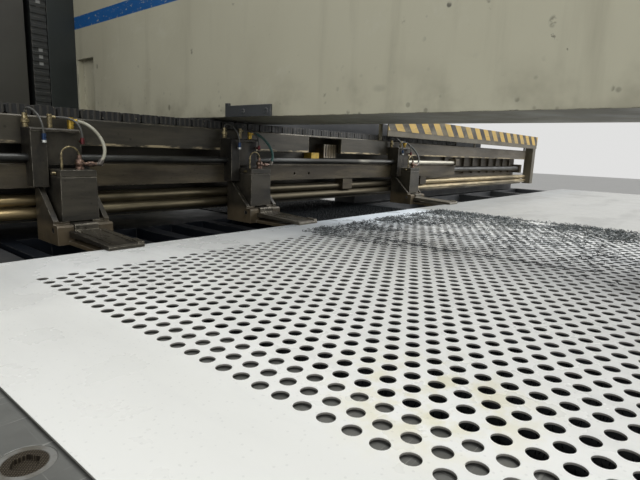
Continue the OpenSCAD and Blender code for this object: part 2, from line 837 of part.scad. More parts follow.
module carriage_plate() {
  half = carriage_l / 2;
  color("dimgray")
  difference() {
    union() {
      along_x(-half, half)
        polygon([[plate_y0, plate_low], [plate_y0, plate_high - 3], [plate_y0 + 3, plate_high],
          [plate_y1, plate_high], [plate_y1, plate_low]]);
      // Nut of the X screw
      block(-45, 45, plate_y1, screw_y + 24, screw_z - 24, screw_z + 22);
    }
    rod_x(-50, 50, screw_y, screw_z, screw_r + fit);
    for (x = [190, 265]) rod_y(x, plate_y0 - over, plate_y1 + over, pass_z + 124, 5);
  }
}

module carriage_shaft() {
  half = carriage_l / 2;
  color("silver") rod_x(-half, half, bar_y, bar_z, bar_d / 2);
}

// Guide blocks that run on the upper rail
module rail_blocks() {
  color("gray")
  for (x = block_at) {
    along_x(x - 30, x + 30) difference() {
      translate([rail_y_top - 24, rail_z_top - 12])
        square([38, plate_low - rail_z_top + 12]);
      translate([rail_y_top, rail_z_top]) circle(rail_r_top + gap);
      translate([rail_y_top, rail_z_top - 4 - gap]) square([30, 8 + 2 * gap]);
      translate([rail_y_top, rail_z_top - 30]) square([30, 30]);
    }
  }
  // End blocks that hold the round bar on the plate
  color("gray")
  for (s = [-1, 1]) difference() {
    block(s * (carriage_l / 2 - 30) - 20, s * (carriage_l / 2 - 30) + 20, bar_y - 16, beam_y - 3,
      plate_high, bar_z + 18);
    rod_x(-carriage_l, carriage_l, bar_y, bar_z, bar_d / 2 + fit);
  }
}

// Sheet with its staggered holes, laid out from the punch centre
module perforated_sheet() {
  column = hole_pitch * column_share;
  x0 = -sheet_left;
  y0 = sheet_y - sheet_w;
  i0 = ceil((x0 + hole_margin) / column);
  i1 = floor((x0 + hole_margin + field_l) / column);
  j0 = ceil((y0 + hole_margin - punch_y) / hole_pitch);
  j1 = floor((sheet_y - hole_margin - punch_y) / hole_pitch);
  color("white")
  along_z(pass_z, sheet_top) difference() {
    translate([x0, y0]) square([sheet_l, sheet_w]);
    for (i = [i0:i1]) if (i % hole_step == 0)
      for (j = [j0:j1]) if (j % hole_step == 0)
        translate([i * column, punch_y + (j + (i % 2 == 0 ? 0 : 0.5)) * hole_pitch])
          circle(d = hole_d, $fn = 32);
  }
}

// One clamp frame: spine and head on the plate, cheeks, jaw pin blocks and the lower jaw
module clamp_frame(x) {
  half = clamp_w / 2;
  eye = jaw_eye + 0.5;
  low = pass_z - lower_jaw_t;
  color([0.16, 0.15, 0.14])
  translate([x, 0, 0]) difference() {
    union() {
      // Spine with its ledge on the carriage plate
      along_x(-half, half)
        polygon([[spine_y + 19, low], [plate_y0, low], [plate_y0, plate_high],
          [beam_y - 3, plate_high], [beam_y - 3, plate_high + 3], [spine_y + 19, plate_high + 3]]);
      // Head round the bar, with a recessed panel between its left post and its roof
      along_x(-half + 16, half - 26)
        polygon([[spine_y, plate_high - 2], [beam_y - 3, plate_high + 2],
          [beam_y - 3, bracket_high - 4], [spine_y, bracket_high - 4]]);
      along_x(-half - 15, half - 34)
        polygon([[spine_y - 15, bracket_high - 7], [beam_y - 3, bracket_high - 7],
          [beam_y - 3, bracket_high], [spine_y - 12, bracket_high], [spine_y - 15, bracket_high - 3]]);
      along_x(-half - 15, -half + 16)
        polygon([[spine_y - 13, plate_low + 5], [beam_y - 20, plate_low + 5],
          [beam_y - 20, plate_high + 1], [beam_y - 3, plate_high + 1], [beam_y - 3, bracket_high - 6],
          [spine_y - 13, bracket_high - 6]]);
      // Cheeks with their sloping front edges
      for (s = [-1, 1]) along_x(s * (half - cheek_t / 2) - cheek_t / 2,
          s * (half - cheek_t / 2) + cheek_t / 2)
        polygon([[cheek_y, low], [plate_y0, low], [plate_y0, plate_high],
          [spine_y + 10, pass_z + 108], [spine_y, pass_z + 100], [cheek_y, pass_z + 37]]);
      // Blocks that hold the jaw pin, as wide as the cheeks
      for (s = [-1, 1]) along_x(s * (half + eye) / 2 - (half - eye) / 2,
          s * (half + eye) / 2 + (half - eye) / 2)
        polygon([[jaw_pivot_y - 22, low], [jaw_pivot_y - 22, pass_z + 26],
          [jaw_pivot_y - 18, pass_z + 30], [jaw_pivot_y, pass_z + 30], [jaw_pivot_y, pass_z + 35],
          [jaw_pivot_y + 30, pass_z + 35], [jaw_pivot_y + 30, low]]);
      // Lower jaw
      along_x(-jaw_w / 2, jaw_w / 2)
        polygon([[sheet_y - jaw_bite, pass_z - 5], [sheet_y - jaw_bite + 12, low],
          [plate_y0 - 3, low], [plate_y0 - 3, pass_z - 4], [sheet_y + 4, pass_z - 4],
          [sheet_y + 4, pass_z], [sheet_y - jaw_bite, pass_z]]);
    }
    rod_x(-half - 20, half, bar_y, bar_z, bar_d / 2 + fit);
    rod_x(-half - over, half + over, jaw_pivot_y, jaw_pivot_z, jaw_pin_d / 2 + fit);
  }
}

module clamp_frame_1() { clamp_frame(clamp_at[0]); }
module clamp_frame_2() { clamp_frame(clamp_at[1]); }
module clamp_frame_3() { clamp_frame(clamp_at[2]); }

// Cylinder blocks with a groove under their caps
module clamp_cylinders() {
  h = cylinder_h;
  w = cylinder_w / 2;
  color([0.2, 0.19, 0.18])
  for (x = clamp_at) translate([x, 0, cylinder_z])
    difference() {
      along_y(cylinder_y0, spine_y + 19)
        polygon([[-w, 0], [-w + 1.5, h - 17], [-w + 3, h - 15], [-w + 1.5, h - 13],
          [-w + 1.5, h - 2], [-w + 3.5, h], [w - 3.5, h], [w - 1.5, h - 2],
          [w - 1.5, h - 13], [w - 3, h - 15], [w - 1.5, h - 17], [w, 0]]);
      along_x(-w - over, w + over)
        polygon([[cylinder_y0 - over, h - 18.5], [cylinder_y0 + 1.5, h - 15],
          [cylinder_y0 - over, h - 11.5]]);
      // Bore of the plunger
      translate([0, jaw_pivot_y + 33, -over]) cylinder(h = 30, r = 11);
    }
}

// Upper jaw: an eye on the pin, a tail behind it and a low tongue with ridges at its tip
module clamp_jaw(x) {
  y = jaw_pivot_y;
  z = jaw_pivot_z;
  tip = sheet_y - jaw_bite;
  color([0.3, 0.28, 0.26])
  translate([x, 0, 0]) difference() {
    union() {
      along_x(-jaw_w / 2, jaw_w / 2)
        polygon([[tip, sheet_top + gap], [tip, sheet_top + 6], [tip + 6, sheet_top + 9],
          [y - 26, pass_z + 18], [y - 24, pass_z + 18], [y - 24, pass_z + 5], [tip + 32, pass_z + 5],
          [tip + 26, sheet_top + gap]]);
      along_x(-jaw_eye, jaw_eye)
        polygon([[y - 26, pass_z + 5], [y - 26, pass_z + 29], [y - 23, pass_z + 32],
          [y + 30, pass_z + 32], [y + 48, pass_z + 26], [y + 48, pass_z + 9], [y - 6, pass_z + 5]]);
      // Raised corner with two ridges at the tip's right end
      for (k = [0, 1]) along_x(jaw_w / 2 - 12 + 7 * k, jaw_w / 2 - 7 + 7 * k)
        polygon([[tip + 2, sheet_top + 5], [tip + 2, sheet_top + 11], [tip + 30, sheet_top + 14],
          [tip + 30, sheet_top + 5]]);
    }
    rod_x(-jaw_w, jaw_w, y, z, jaw_pin_d / 2 + fit);
    // Slots along the tongue
    for (s = [-1, 1]) along_x(s * 22 - 2, s * 22 + 2)
      polygon([[tip + 20, sheet_top + 7], [tip + 20, sheet_top + 20], [y - 40, pass_z + 40],
        [y - 40, pass_z + 15]]);
  }
}

module clamp_jaw_1() { clamp_jaw(clamp_at[0]); }
module clamp_jaw_2() { clamp_jaw(clamp_at[1]); }
module clamp_jaw_3() { clamp_jaw(clamp_at[2]); }

module jaw_pins() {
  color("silver")
  for (x = clamp_at)
    rod_x(x - clamp_w / 2, x + clamp_w / 2, jaw_pivot_y, jaw_pivot_z, jaw_pin_d / 2);
}

// Fittings on each clamp: banjo union and its arm, bent pipe, side nipple, valve and posts
module fitting_set() {
  z = cylinder_z + cylinder_h;
  y = cylinder_y0 + 22;
  // Banjo union on the cylinder's cap, its arm and the elbow of the supply hose
  translate([12, y, z]) rotate_extrude()
    polygon(concat([[0, 0], [9, 0], [9, 6], [6, 7]], arc_points(0, 15, 10, -50, 50, 6),
      [[4.5, 23], [4.5, 31], [0, 31]]));
  rod_x(14, 57, y, z + 12, 4);
  rod_x(30, 42, y, z + 12, 6);
  translate([56, y, z + 11]) rotate([0, 35, 0]) cylinder(h = 12, r = 6.5);
  // Bent pipe from the cap to the banjo
  upright_rod(-26, y, z, z + 31, 2.6);
  translate([-7, y, z + 30]) rotate([90, 0, 0]) rotate_extrude(angle = 180)
    translate([19, 0]) circle(r = 2, $fn = 16);
  // Side nipple
  rod_x(-cylinder_w / 2 - 8, -cylinder_w / 2 + 1, y, z - 8, 3.5);
  // Post of the supply hose and the valve on the head
  upright_rod(20, spine_y + 16, bracket_high, bracket_high + 26, 7);
  rod_x(22, 34, spine_y + 16, bracket_high + 18, 5.5);
  translate([-69, spine_y + 28, bracket_high]) rotate_extrude()
    polygon([[0, 0], [6, 0], [6, 9], [8.5, 10], [8.5, 17], [6, 18], [5, 30], [0, 30]]);
  // Elbow of the control hose on the head's post
  upright_rod(-51, spine_y - 20, pass_z + 201, pass_z + 220, 4.5);
  rod_y(-51, spine_y - 20, spine_y - 13, pass_z + 206, 3);
  // Post of the return hose on the head's roof and its elbow on the head's front
  upright_rod(-28, spine_y + 6, bracket_high, bracket_high + 30, 5);
  rod_x(-26, -16, spine_y + 6, bracket_high + 24, 3.5);
  upright_rod(31, spine_y - 15, pass_z + 200, pass_z + 214, 4.5);
  rod_y(31, spine_y - 15, spine_y, pass_z + 206, 3);
}

module hose_fittings() {
  color("goldenrod") for (x = clamp_at) translate([x, 0, 0]) fitting_set();
}

// Tube swept along a curve between two fittings, from four guide points
function unit(v) = v / norm(v);
function at(g, t) = let (u = 1 - t)
  u * u * u * g[0] + 3 * u * u * t * g[1] + 3 * u * t * t * g[2] + t * t * t * g[3];
function slope(g, t) = let (u = 1 - t)
  unit(u * u * (g[1] - g[0]) + 2 * u * t * (g[2] - g[1]) + t * t * (g[3] - g[2]));
function ring(g, t, r, n) =
  let (d = slope(g, t), u = unit(cross(d, [0.2, 1, 0.1])), v = cross(d, u))
  [for (k = [0:n - 1]) at(g, t) + r * cos(360 * k / n) * u + r * sin(360 * k / n) * v];

module tube(g, m, r) {
  n = 8;
  pts = [for (i = [0:m - 1]) for (q = ring(g, i / (m - 1), r, n)) q];
  sides = [for (i = [0:m - 2]) for (k = [0:n - 1]) for (h = [0, 1])
    h == 0 ? [i * n + k, (i + 1) * n + (k + 1) % n, i * n + (k + 1) % n]
      : [i * n + k, (i + 1) * n + k, (i + 1) * n + (k + 1) % n]];
  ends = [[for (k = [0:n - 1]) k], [for (k = [n - 1:-1:0]) (m - 1) * n + k]];
  polyhedron(points = pts, faces = concat(sides, ends));
}

module supply_hose(x) {
  tip = [63.1, -38, 166.1];
  color([0.75, 0.75, 0.7])
  translate([x, spine_y, pass_z])
    tube([[34.3, 16, 250], [68, 16, 252], tip + 42 * [sin(35), 0, cos(35)], tip], 10, 3.8);
}

// Thin hoses: the valve's to the head's post, and a return to the head's front
module pilot_hose(x) {
  color([0.12, 0.13, 0.16])
  translate([x, spine_y, pass_z]) {
    tube([[-69, 28, 262.3], [-69, 28, 287], [-51, -20, 266], [-51, -20, 220.3]], 9, 2.2);
    tube([[-15.7, 6, 256], [14, 6, 258], [31, -15, 254], [31, -15, 214.3]], 7, 2.6);
  }
}

module supply_hose_1() { supply_hose(clamp_at[0]); }
module supply_hose_2() { supply_hose(clamp_at[1]); }
module supply_hose_3() { supply_hose(clamp_at[2]); }
module pilot_hose_1() { pilot_hose(clamp_at[0]); }
module pilot_hose_2() { pilot_hose(clamp_at[1]); }
module pilot_hose_3() { pilot_hose(clamp_at[2]); }

// Swing arm of the console: boss, boom and drop tube
module console_arm() {
  x0 = frame_w / 2 + 70;
  color("lightgray")
  difference() {
    union() {
      upright_rod(x0, console_y, 1832, 1950, 38);
      rod_x(x0, console_x, console_y, 1900, 26);
      upright_rod(console_x, console_y, console_z + 360, 1926, 26);
      upright_rod(console_x, console_y, console_z + 350, console_z + 362, 60);
    }
    upright_rod(x0, console_y, 1800, 1960, 20);
  }
}

module console() {
  x0 = console_x - 230;
  x1 = console_x + 230;
  y0 = console_y - 85;
  color("whitesmoke")
  difference() {
    along_x(x0, x1)
      polygon([[y0, console_z + 90], [y0, console_z + 350], [console_y + 75, console_z + 350],
        [console_y + 75, console_z], [y0 - 30, console_z], [y0 - 30, console_z + 28]]);
    // Screen recess and the holes of the buttons
    block(x0 + 30, x0 + 330, y0 - over, y0 + 8, console_z + 120, console_z + 325);
    for (b = [150, 210]) rod_y(x1 - 65, y0 - over, y0 + 26, console_z + b, 11 + gap);
    rod_y(x1 - 65, y0 - over, y0 + 26, console_z + 290, 11 + gap);
  }
}

module push_button(z, head_r, head_t) {
  y0 = console_y - 85;
  x = console_x + 165;
  rod_y(x, y0 - 10, y0 + 14, z, 11);
  rod_y(x, y0 - 10 - head_t, y0 - 10, z, head_r);
}

module e_stop() { color("red") push_button(console_z + 290, 22, 14); }
module start_button() { color("green") push_button(console_z + 210, 14, 4); }
module stop_button() { color("black") push_button(console_z + 150, 14, 4); }

c_frame();
levelling_feet();
arm_bracket();
ram_cylinder();
turret_housings();
turret_motor();
y_bases();
y_rails();
centre_table();
brush_pads();
cabinet();
hydraulic_unit();
y_drive();
upper_turret();
lower_turret();
tool_guides();
dies();
station_punches();
active_punch();
ram();
index_pin_upper();
index_pin_lower();
x_beam();
beam_saddles();
x_rails();
energy_chain();
guard_frame();
hazard_bar();
side_tables();
table_plates();
plate_plugs();
x_motor();
beam_sensors();
x_screw();
y_screw();
carriage_plate();
carriage_shaft();
rail_blocks();
perforated_sheet();
jaw_pins();
hose_fittings();
clamp_frame_1();
clamp_frame_2();
clamp_frame_3();
clamp_cylinders();
clamp_jaw_1();
clamp_jaw_2();
clamp_jaw_3();
supply_hose_1();
supply_hose_2();
supply_hose_3();
pilot_hose_1();
pilot_hose_2();
pilot_hose_3();
cabinet_door();
console_arm();
console();
e_stop();
start_button();
stop_button();
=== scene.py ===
import math
import random
import bpy
from mathutils import Matrix, Vector, noise


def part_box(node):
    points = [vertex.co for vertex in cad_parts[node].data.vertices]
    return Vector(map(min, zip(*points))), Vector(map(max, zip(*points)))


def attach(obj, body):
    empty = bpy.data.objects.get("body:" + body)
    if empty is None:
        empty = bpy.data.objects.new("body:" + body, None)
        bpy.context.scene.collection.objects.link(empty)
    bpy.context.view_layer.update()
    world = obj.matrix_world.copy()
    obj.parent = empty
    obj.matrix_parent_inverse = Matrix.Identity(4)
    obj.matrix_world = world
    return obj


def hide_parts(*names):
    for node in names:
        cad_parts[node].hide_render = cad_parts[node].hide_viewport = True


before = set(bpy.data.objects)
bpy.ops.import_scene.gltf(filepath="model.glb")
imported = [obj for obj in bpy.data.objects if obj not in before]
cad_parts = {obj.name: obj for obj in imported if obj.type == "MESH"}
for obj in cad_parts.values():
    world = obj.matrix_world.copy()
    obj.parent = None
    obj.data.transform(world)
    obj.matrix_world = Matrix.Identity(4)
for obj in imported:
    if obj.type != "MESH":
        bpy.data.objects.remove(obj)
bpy.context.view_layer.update()        # refresh after the parts were moved into world space

# Places along the machine, in metres, as the model has them
PASS_Z = 0.948
LANE_Z = 0.926
PUNCH_Y = -0.674
CLAMPS = {"1": -0.582, "2": -0.046, "3": 0.885}
BEAM_TOP = PASS_Z + 0.259
TROUGH_WALL_Y = 0.684
ARM_SIDE = 0.159
ARM_LOW = 1.24
STRIPE_Z = (1.577, 1.622)
# Top of the frame's dark grey foot: two-tone paint that also paints the shade under the beam
FOOT_PAINT_AND_SHADE_Z = 0.93
DUCT_X = (-0.316, -0.260)
PANEL_X = (-0.260, -0.160)
GRILLE_X = 0.395
# First plug of the table plates, and half of the plugs' spacing
PLUG_AT = (0.955, -0.374)
PLUG_HALF = 0.15

# Hole pattern of the sheet, laid out from the punch centre
HOLE_PITCH = 0.025
HOLE_R = 0.008
COLUMN = HOLE_PITCH * 0.893
FIRST_COLUMN, LAST_COLUMN = -35, 25
FIRST_ROW, LAST_ROW = -18, 29
# Far edges of the hole field, and the clear ring round the punch's hole
FIELD_X, FIELD_Y = 0.585, 0.095
PUNCH_ROOM = 0.024
# Middle of the yellow stain between the holes
STAIN_AT = (-0.69, -0.53, PASS_Z)

# Guide points of the hoses: X from the clamp's middle, Y, and Z above the pass line
LEAN = math.radians(35)
SUPPLY_END = Vector((0.0631, 0.402, 0.1661))
SUPPLY_ROUTE = [
    Vector((0.0343, 0.456, 0.250)),
    Vector((0.068, 0.456, 0.252)),
    SUPPLY_END + 0.042 * Vector((math.sin(LEAN), 0, math.cos(LEAN))),
    SUPPLY_END,
]
PILOT_ROUTE = [
    Vector((-0.069, 0.468, 0.2623)),
    Vector((-0.069, 0.468, 0.287)),
    Vector((-0.051, 0.420, 0.266)),
    Vector((-0.051, 0.420, 0.2203)),
]
RETURN_ROUTE = [
    Vector((-0.0157, 0.446, 0.256)),
    Vector((0.014, 0.446, 0.258)),
    Vector((0.031, 0.425, 0.254)),
    Vector((0.031, 0.425, 0.2143)),
]
# Hose diameters
SUPPLY_D = 0.0076
PILOT_D = 0.0044
RETURN_D = 0.0052

# Faces of a box whose points run round its foot and then round its top
BOX_FACES = ((0, 3, 2, 1), (4, 5, 6, 7), (0, 1, 5, 4), (1, 2, 6, 5), (2, 3, 7, 6), (3, 0, 4, 7))

# Camera: its place, its direction and the lens for a 36 mm wide sensor
CAMERA_AT = (-1.0526, -0.700, 1.154)
CAMERA_YAW = math.radians(39.85)
CAMERA_PITCH = math.radians(10.48)
CAMERA_ROLL = math.radians(2.16)
CAMERA_LENS = 27.19


def tone(red, green, blue):
    """Linear colour from the three values of a screen colour, each from 0 to 255."""
    return tuple(((v / 255 + 0.055) / 1.055) ** 2.4 for v in (red, green, blue)) + (1.0,)


class Finish:
    """Procedural material laid out in the machine's own metres."""

    def __init__(self, name, metallic=0.0, specular=0.5):
        self.material = bpy.data.materials.new(name)
        self.material.use_nodes = True
        self.nodes = self.material.node_tree.nodes
        self.links = self.material.node_tree.links
        self.shader = self.nodes["Principled BSDF"]
        self.shader.inputs["Metallic"].default_value = metallic
        self.shader.inputs["Specular IOR Level"].default_value = specular
        self.place = self.nodes.new("ShaderNodeTexCoord").outputs["Object"]

    def feed(self, socket, value):
        """Link another node's output to the socket, or set a plain value."""
        if isinstance(value, bpy.types.NodeSocket):
            self.links.new(value, socket)
        else:
            socket.default_value = value

    def node(self, kind, inputs, **settings):
        node = self.nodes.new(kind)
        for key, value in settings.items():
            setattr(node, key, value)
        for key, value in inputs.items():
            self.feed(node.inputs[key], value)
        return node

    def axis(self, letter):
        return self.node("ShaderNodeSeparateXYZ", {0: self.place}).outputs[letter]

    def math(self, operation, first, second=0.0, third=0.0):
        return self.node("ShaderNodeMath", {0: first, 1: second, 2: third},
                         operation=operation).outputs[0]

    def noise(self, per_metre, stretch=(1, 1, 1), detail=4.0, rough=0.6, twist=0.0):
        place = self.node("ShaderNodeVectorMath",
                          {0: self.place, 1: [per_metre * s for s in stretch]},
                          operation="MULTIPLY").outputs[0]
        return self.node("ShaderNodeTexNoise", {"Vector": place, "Scale": 1.0, "Detail": detail,
                         "Roughness": rough, "Distortion": twist}).outputs[0]

    def cells(self, per_metre, stretch=(1, 1, 1)):
        """Distance to the nearest of many scattered points, in shares of their spacing."""
        place = self.node("ShaderNodeVectorMath",
                          {0: self.place, 1: [per_metre * s for s in stretch]},
                          operation="MULTIPLY").outputs[0]
        return self.node("ShaderNodeTexVoronoi", {"Vector": place, "Scale": 1.0}).outputs[0]

    def between(self, value, low, high, start=0.0, end=1.0):
        """Smooth rise from start at low to end at high."""
        return self.node("ShaderNodeMapRange", {0: value, 1: low, 2: high, 3: start, 4: end},
                         interpolation_type="SMOOTHSTEP").outputs[0]

    def inside(self, value, low, high, soft=0.0008):
        """1 from low to high, 0 outside."""
        rise = self.between(value, low - soft, low + soft)
        fall = self.between(value, high + soft, high - soft)
        return self.math("MULTIPLY", rise, fall)

    def mix(self, amount, first, second):
        return self.node("ShaderNodeMix", {0: amount, 6: first, 7: second},
                         data_type="RGBA").outputs[2]

    def both(self, first, second):
        return self.math("MULTIPLY", first, second)

    def rounded(self, radius):
        return self.node("ShaderNodeBevel", {"Radius": radius}, samples=6).outputs[0]

    def edges(self, radius):
        """1 along the edges, 0 away from them."""
        flat = self.node("ShaderNodeNewGeometry", {}).outputs["Normal"]
        turn = self.node("ShaderNodeVectorMath", {0: self.rounded(radius), 1: flat},
                         operation="DOT_PRODUCT").outputs["Value"]
        return self.between(turn, 0.985, 0.86)

    def done(self, colour, roughness, height, depth, radius=0.0):
        """Join colour, roughness and a height of the given depth in metres to the shader."""
        self.feed(self.shader.inputs["Base Color"], colour)
        self.feed(self.shader.inputs["Roughness"], roughness)
        bump = self.node("ShaderNodeBump", {"Height": height, "Distance": depth, "Strength": 1.0})
        if radius:
            self.feed(bump.inputs["Normal"], self.rounded(radius))
        self.feed(self.shader.inputs["Normal"], bump.outputs[0])
        return self.material


def painted(name, colour, dirt, bare, amount=0.5, gloss=0.42, radius=0.003, specular=0.5):
    """Paint with broad dirt, streaks, worn edges and an orange-peel surface."""
    f = Finish(name, 0.0, specular)
    broad = f.between(f.noise(2.4, detail=6), 0.44, 0.68, 0.0, amount)
    streak = f.between(f.noise(22, (1, 1, 0.12), 3), 0.52, 0.78, 0.0, 0.5 * amount)
    fine = f.between(f.noise(160), 0.35, 0.75, 0.0, 0.3 * amount)
    paint = f.mix(broad, colour, dirt)
    paint = f.mix(streak, paint, dirt)
    paint = f.mix(fine, paint, dirt)
    worn = f.both(f.edges(radius), f.between(f.noise(45), 0.45, 0.6))
    paint = f.mix(worn, paint, bare)
    rough = f.between(f.noise(9), 0.3, 0.7, gloss - 0.07, gloss + 0.13)
    return f.done(paint, rough, f.noise(420), 0.00025, radius)


def frame_paint():
    """Cream paint of the C frame: grime, runs, scuffs, painted shade underneath and the blue
    stripe.
    """
    f = Finish("frame_paint")
    broad = f.between(f.noise(1.3, (1, 1, 0.7), 6), 0.38, 0.70)
    runs = f.between(f.noise(13, (1, 1, 0.10), 5), 0.52, 0.80, 0.0, 0.30)
    low = f.between(f.axis("Z"), ARM_LOW + 0.12, ARM_LOW, 0.0, 0.7)
    paint = f.mix(f.math("MULTIPLY", broad, 0.5), tone(194, 191, 169), tone(164, 159, 138))
    paint = f.mix(runs, paint, tone(122, 116, 96))
    wipes = f.between(f.noise(4.5, (0.4, 1, 1.6), 7, 0.7, 0.8), 0.56, 0.68, 0.0, 0.55)
    paint = f.mix(wipes, paint, tone(200, 198, 180))
    # Dark grey foot: two-tone paint that also paints the shade falling under the beam
    foot = f.between(f.axis("Z"), FOOT_PAINT_AND_SHADE_Z + 0.01, FOOT_PAINT_AND_SHADE_Z - 0.01)
    grime = f.both(low, f.between(f.noise(7), 0.42, 0.70, 0.0, 0.6))
    paint = f.mix(grime, paint, tone(104, 97, 78))
    band = f.inside(f.axis("Z"), *STRIPE_Z)
    side = f.between(f.math("ABSOLUTE", f.axis("X")), ARM_SIDE - 0.0005, ARM_SIDE + 0.0005)
    kept = f.between(f.noise(60, (1, 1, 3), 5), 0.30, 0.40)
    stripe = f.both(f.both(band, side), kept)
    paint = f.mix(stripe, paint, tone(14, 88, 152))
    paint = f.mix(foot, paint, f.mix(broad, tone(70, 72, 72), tone(50, 50, 48)))
    smudge = f.both(f.between(f.cells(7, (1, 1, 2.2)), 0.20, 0.10, 0.0, 0.5),
                    f.both(low, f.between(f.noise(9, detail=6), 0.46, 0.60)))
    paint = f.mix(smudge, paint, tone(70, 66, 54))
    beside = f.both(f.inside(f.axis("Y"), -0.42, -0.16, 0.06),
                    f.between(f.axis("Z"), ARM_LOW + 0.10, ARM_LOW + 0.20))
    spots = f.both(f.between(f.cells(34), 0.22, 0.12, 0.0, 0.8),
                   f.math("MAXIMUM", beside, f.math("MULTIPLY", low, 0.8)))
    paint = f.mix(f.both(spots, f.between(f.noise(16), 0.46, 0.58)), paint, tone(44, 42, 36))
    scuffs = f.both(f.between(f.cells(18, (1, 1, 0.7)), 0.15, 0.07, 0.0, 0.6),
                    f.between(f.noise(24), 0.52, 0.58))
    paint = f.mix(scuffs, paint, tone(92, 90, 76))
    # Painted shade: faces that point down are darkened, standing in for the shade on the arm's
    # underside
    facing = f.node("ShaderNodeNewGeometry", {}).outputs["Normal"]
    down = f.node("ShaderNodeSeparateXYZ", {0: facing}).outputs["Z"]
    paint = f.mix(f.between(down, -0.5, -0.9, 0.0, 0.7), paint, tone(66, 62, 48))
    chips = f.between(f.noise(55, detail=6), 0.70, 0.74)
    worn = f.math("MAXIMUM", f.both(f.edges(0.004), f.between(f.noise(30), 0.42, 0.58)),
                  f.math("MULTIPLY", chips, 0.7))
    paint = f.mix(worn, paint, tone(84, 80, 68))
    rough = f.between(f.noise(6), 0.3, 0.7, 0.36, 0.58)
    grain = f.math("MULTIPLY", f.noise(300), 0.3)
    height = f.math("SUBTRACT", grain, f.math("MULTIPLY", worn, 0.8))
    return f.done(paint, rough, height, 0.0004, 0.004)


def oily_steel(name, dark, light, metallic=0.55, gloss=0.38, along=(0.15, 1, 1), radius=0.002,
               foot=None):
    """Dark oiled steel: wiped streaks, dried oil, dust in patches and bright rubbed edges."""
    f = Finish(name, metallic)
    wiped = f.between(f.noise(14, along, 6, 0.65), 0.38, 0.66)
    dust = f.between(f.noise(5, detail=5), 0.46, 0.70, 0.0, 0.65)
    colour = f.mix(wiped, dark, light)
    colour = f.mix(dust, colour, tone(74, 69, 59))
    drops = f.between(f.cells(70), 0.17, 0.10, 0.0, 0.5)
    colour = f.mix(f.both(drops, f.between(f.noise(8), 0.5, 0.6)), colour, tone(18, 17, 15))
    if foot:
        low = f.between(f.axis("Z"), PASS_Z + 0.045, PASS_Z + 0.020)
        colour = f.mix(f.both(low, f.between(f.noise(12), 0.3, 0.6, 0.35, 0.85)), colour, foot)
    rub = f.both(f.edges(radius), f.between(f.noise(60), 0.40, 0.58))
    colour = f.mix(rub, colour, tone(150, 144, 130))
    rough = f.between(f.noise(20, along), 0.3, 0.7, gloss - 0.12, gloss + 0.22)
    height = f.math("ADD", f.noise(260), f.math("MULTIPLY", wiped, 0.5))
    return f.done(colour, rough, height, 0.0003, radius)


def beam_steel():
    """Beam: dark oil film on the left, a dusty paler finish towards the right end."""
    f = Finish("dark_steel", 0.35)
    wiped = f.between(f.noise(11, (0.12, 1, 1), 6, 0.66), 0.40, 0.64)
    pale = f.between(f.axis("X"), 0.55, 1.7, 0.0, 0.8)
    dust = f.between(f.noise(4, (0.5, 1, 1), 5), 0.42, 0.70)
    colour = f.mix(wiped, tone(38, 37, 32), tone(66, 62, 53))
    colour = f.mix(f.math("MULTIPLY", dust, 0.5), colour, tone(84, 79, 67))
    colour = f.mix(f.both(pale, f.between(wiped, 0.0, 1.0, 0.55, 1.0)), colour, tone(104, 96, 82))
    spots = f.between(f.cells(38), 0.16, 0.08, 0.0, 0.8)
    colour = f.mix(f.both(spots, f.between(f.noise(6), 0.48, 0.6)), colour, tone(22, 20, 17))
    rub = f.both(f.edges(0.003), f.between(f.noise(26), 0.38, 0.55))
    colour = f.mix(rub, colour, tone(158, 150, 130))
    # Pale band along the lip's lower edge: scraped paint and a painted highlight
    lip = f.both(f.inside(f.axis("Z"), PASS_Z + 0.197, PASS_Z + 0.2035),
                 f.between(f.axis("Y"), 0.4845, 0.4835))
    scraped_and_highlight = f.both(lip, f.between(f.noise(34, (0.35, 1, 1.5), 6, 0.7), 0.44, 0.56))
    colour = f.mix(scraped_and_highlight, colour, tone(166, 152, 122))
    rough = f.between(f.noise(16, (0.2, 1, 1)), 0.3, 0.7, 0.30, 0.62)
    height = f.math("ADD", f.noise(240), f.math("MULTIPLY", wiped, 0.6))
    return f.done(colour, rough, height, 0.0003, 0.003)


def bright_steel(name, colour, stain, gloss=0.30, along=(0.04, 1, 1), grain=500, radius=0.0012):
    """Ground steel with fine grain along one axis, an oil film and stains."""
    f = Finish(name, 0.9)
    lines = f.noise(grain, along, 2)
    film = f.between(f.noise(9, detail=5), 0.42, 0.68, 0.0, 0.6)
    metal = f.mix(f.between(lines, 0.3, 0.7, 0.0, 0.45), colour, stain)
    metal = f.mix(film, metal, stain)
    specks = f.between(f.cells(120), 0.15, 0.08, 0.0, 0.5)
    metal = f.mix(f.both(specks, f.between(f.noise(15), 0.5, 0.62)), metal, tone(60, 50, 38))
    rough = f.between(f.noise(24, along), 0.3, 0.7, gloss - 0.08, gloss + 0.20)
    return f.done(metal, rough, lines, 0.00008, radius)


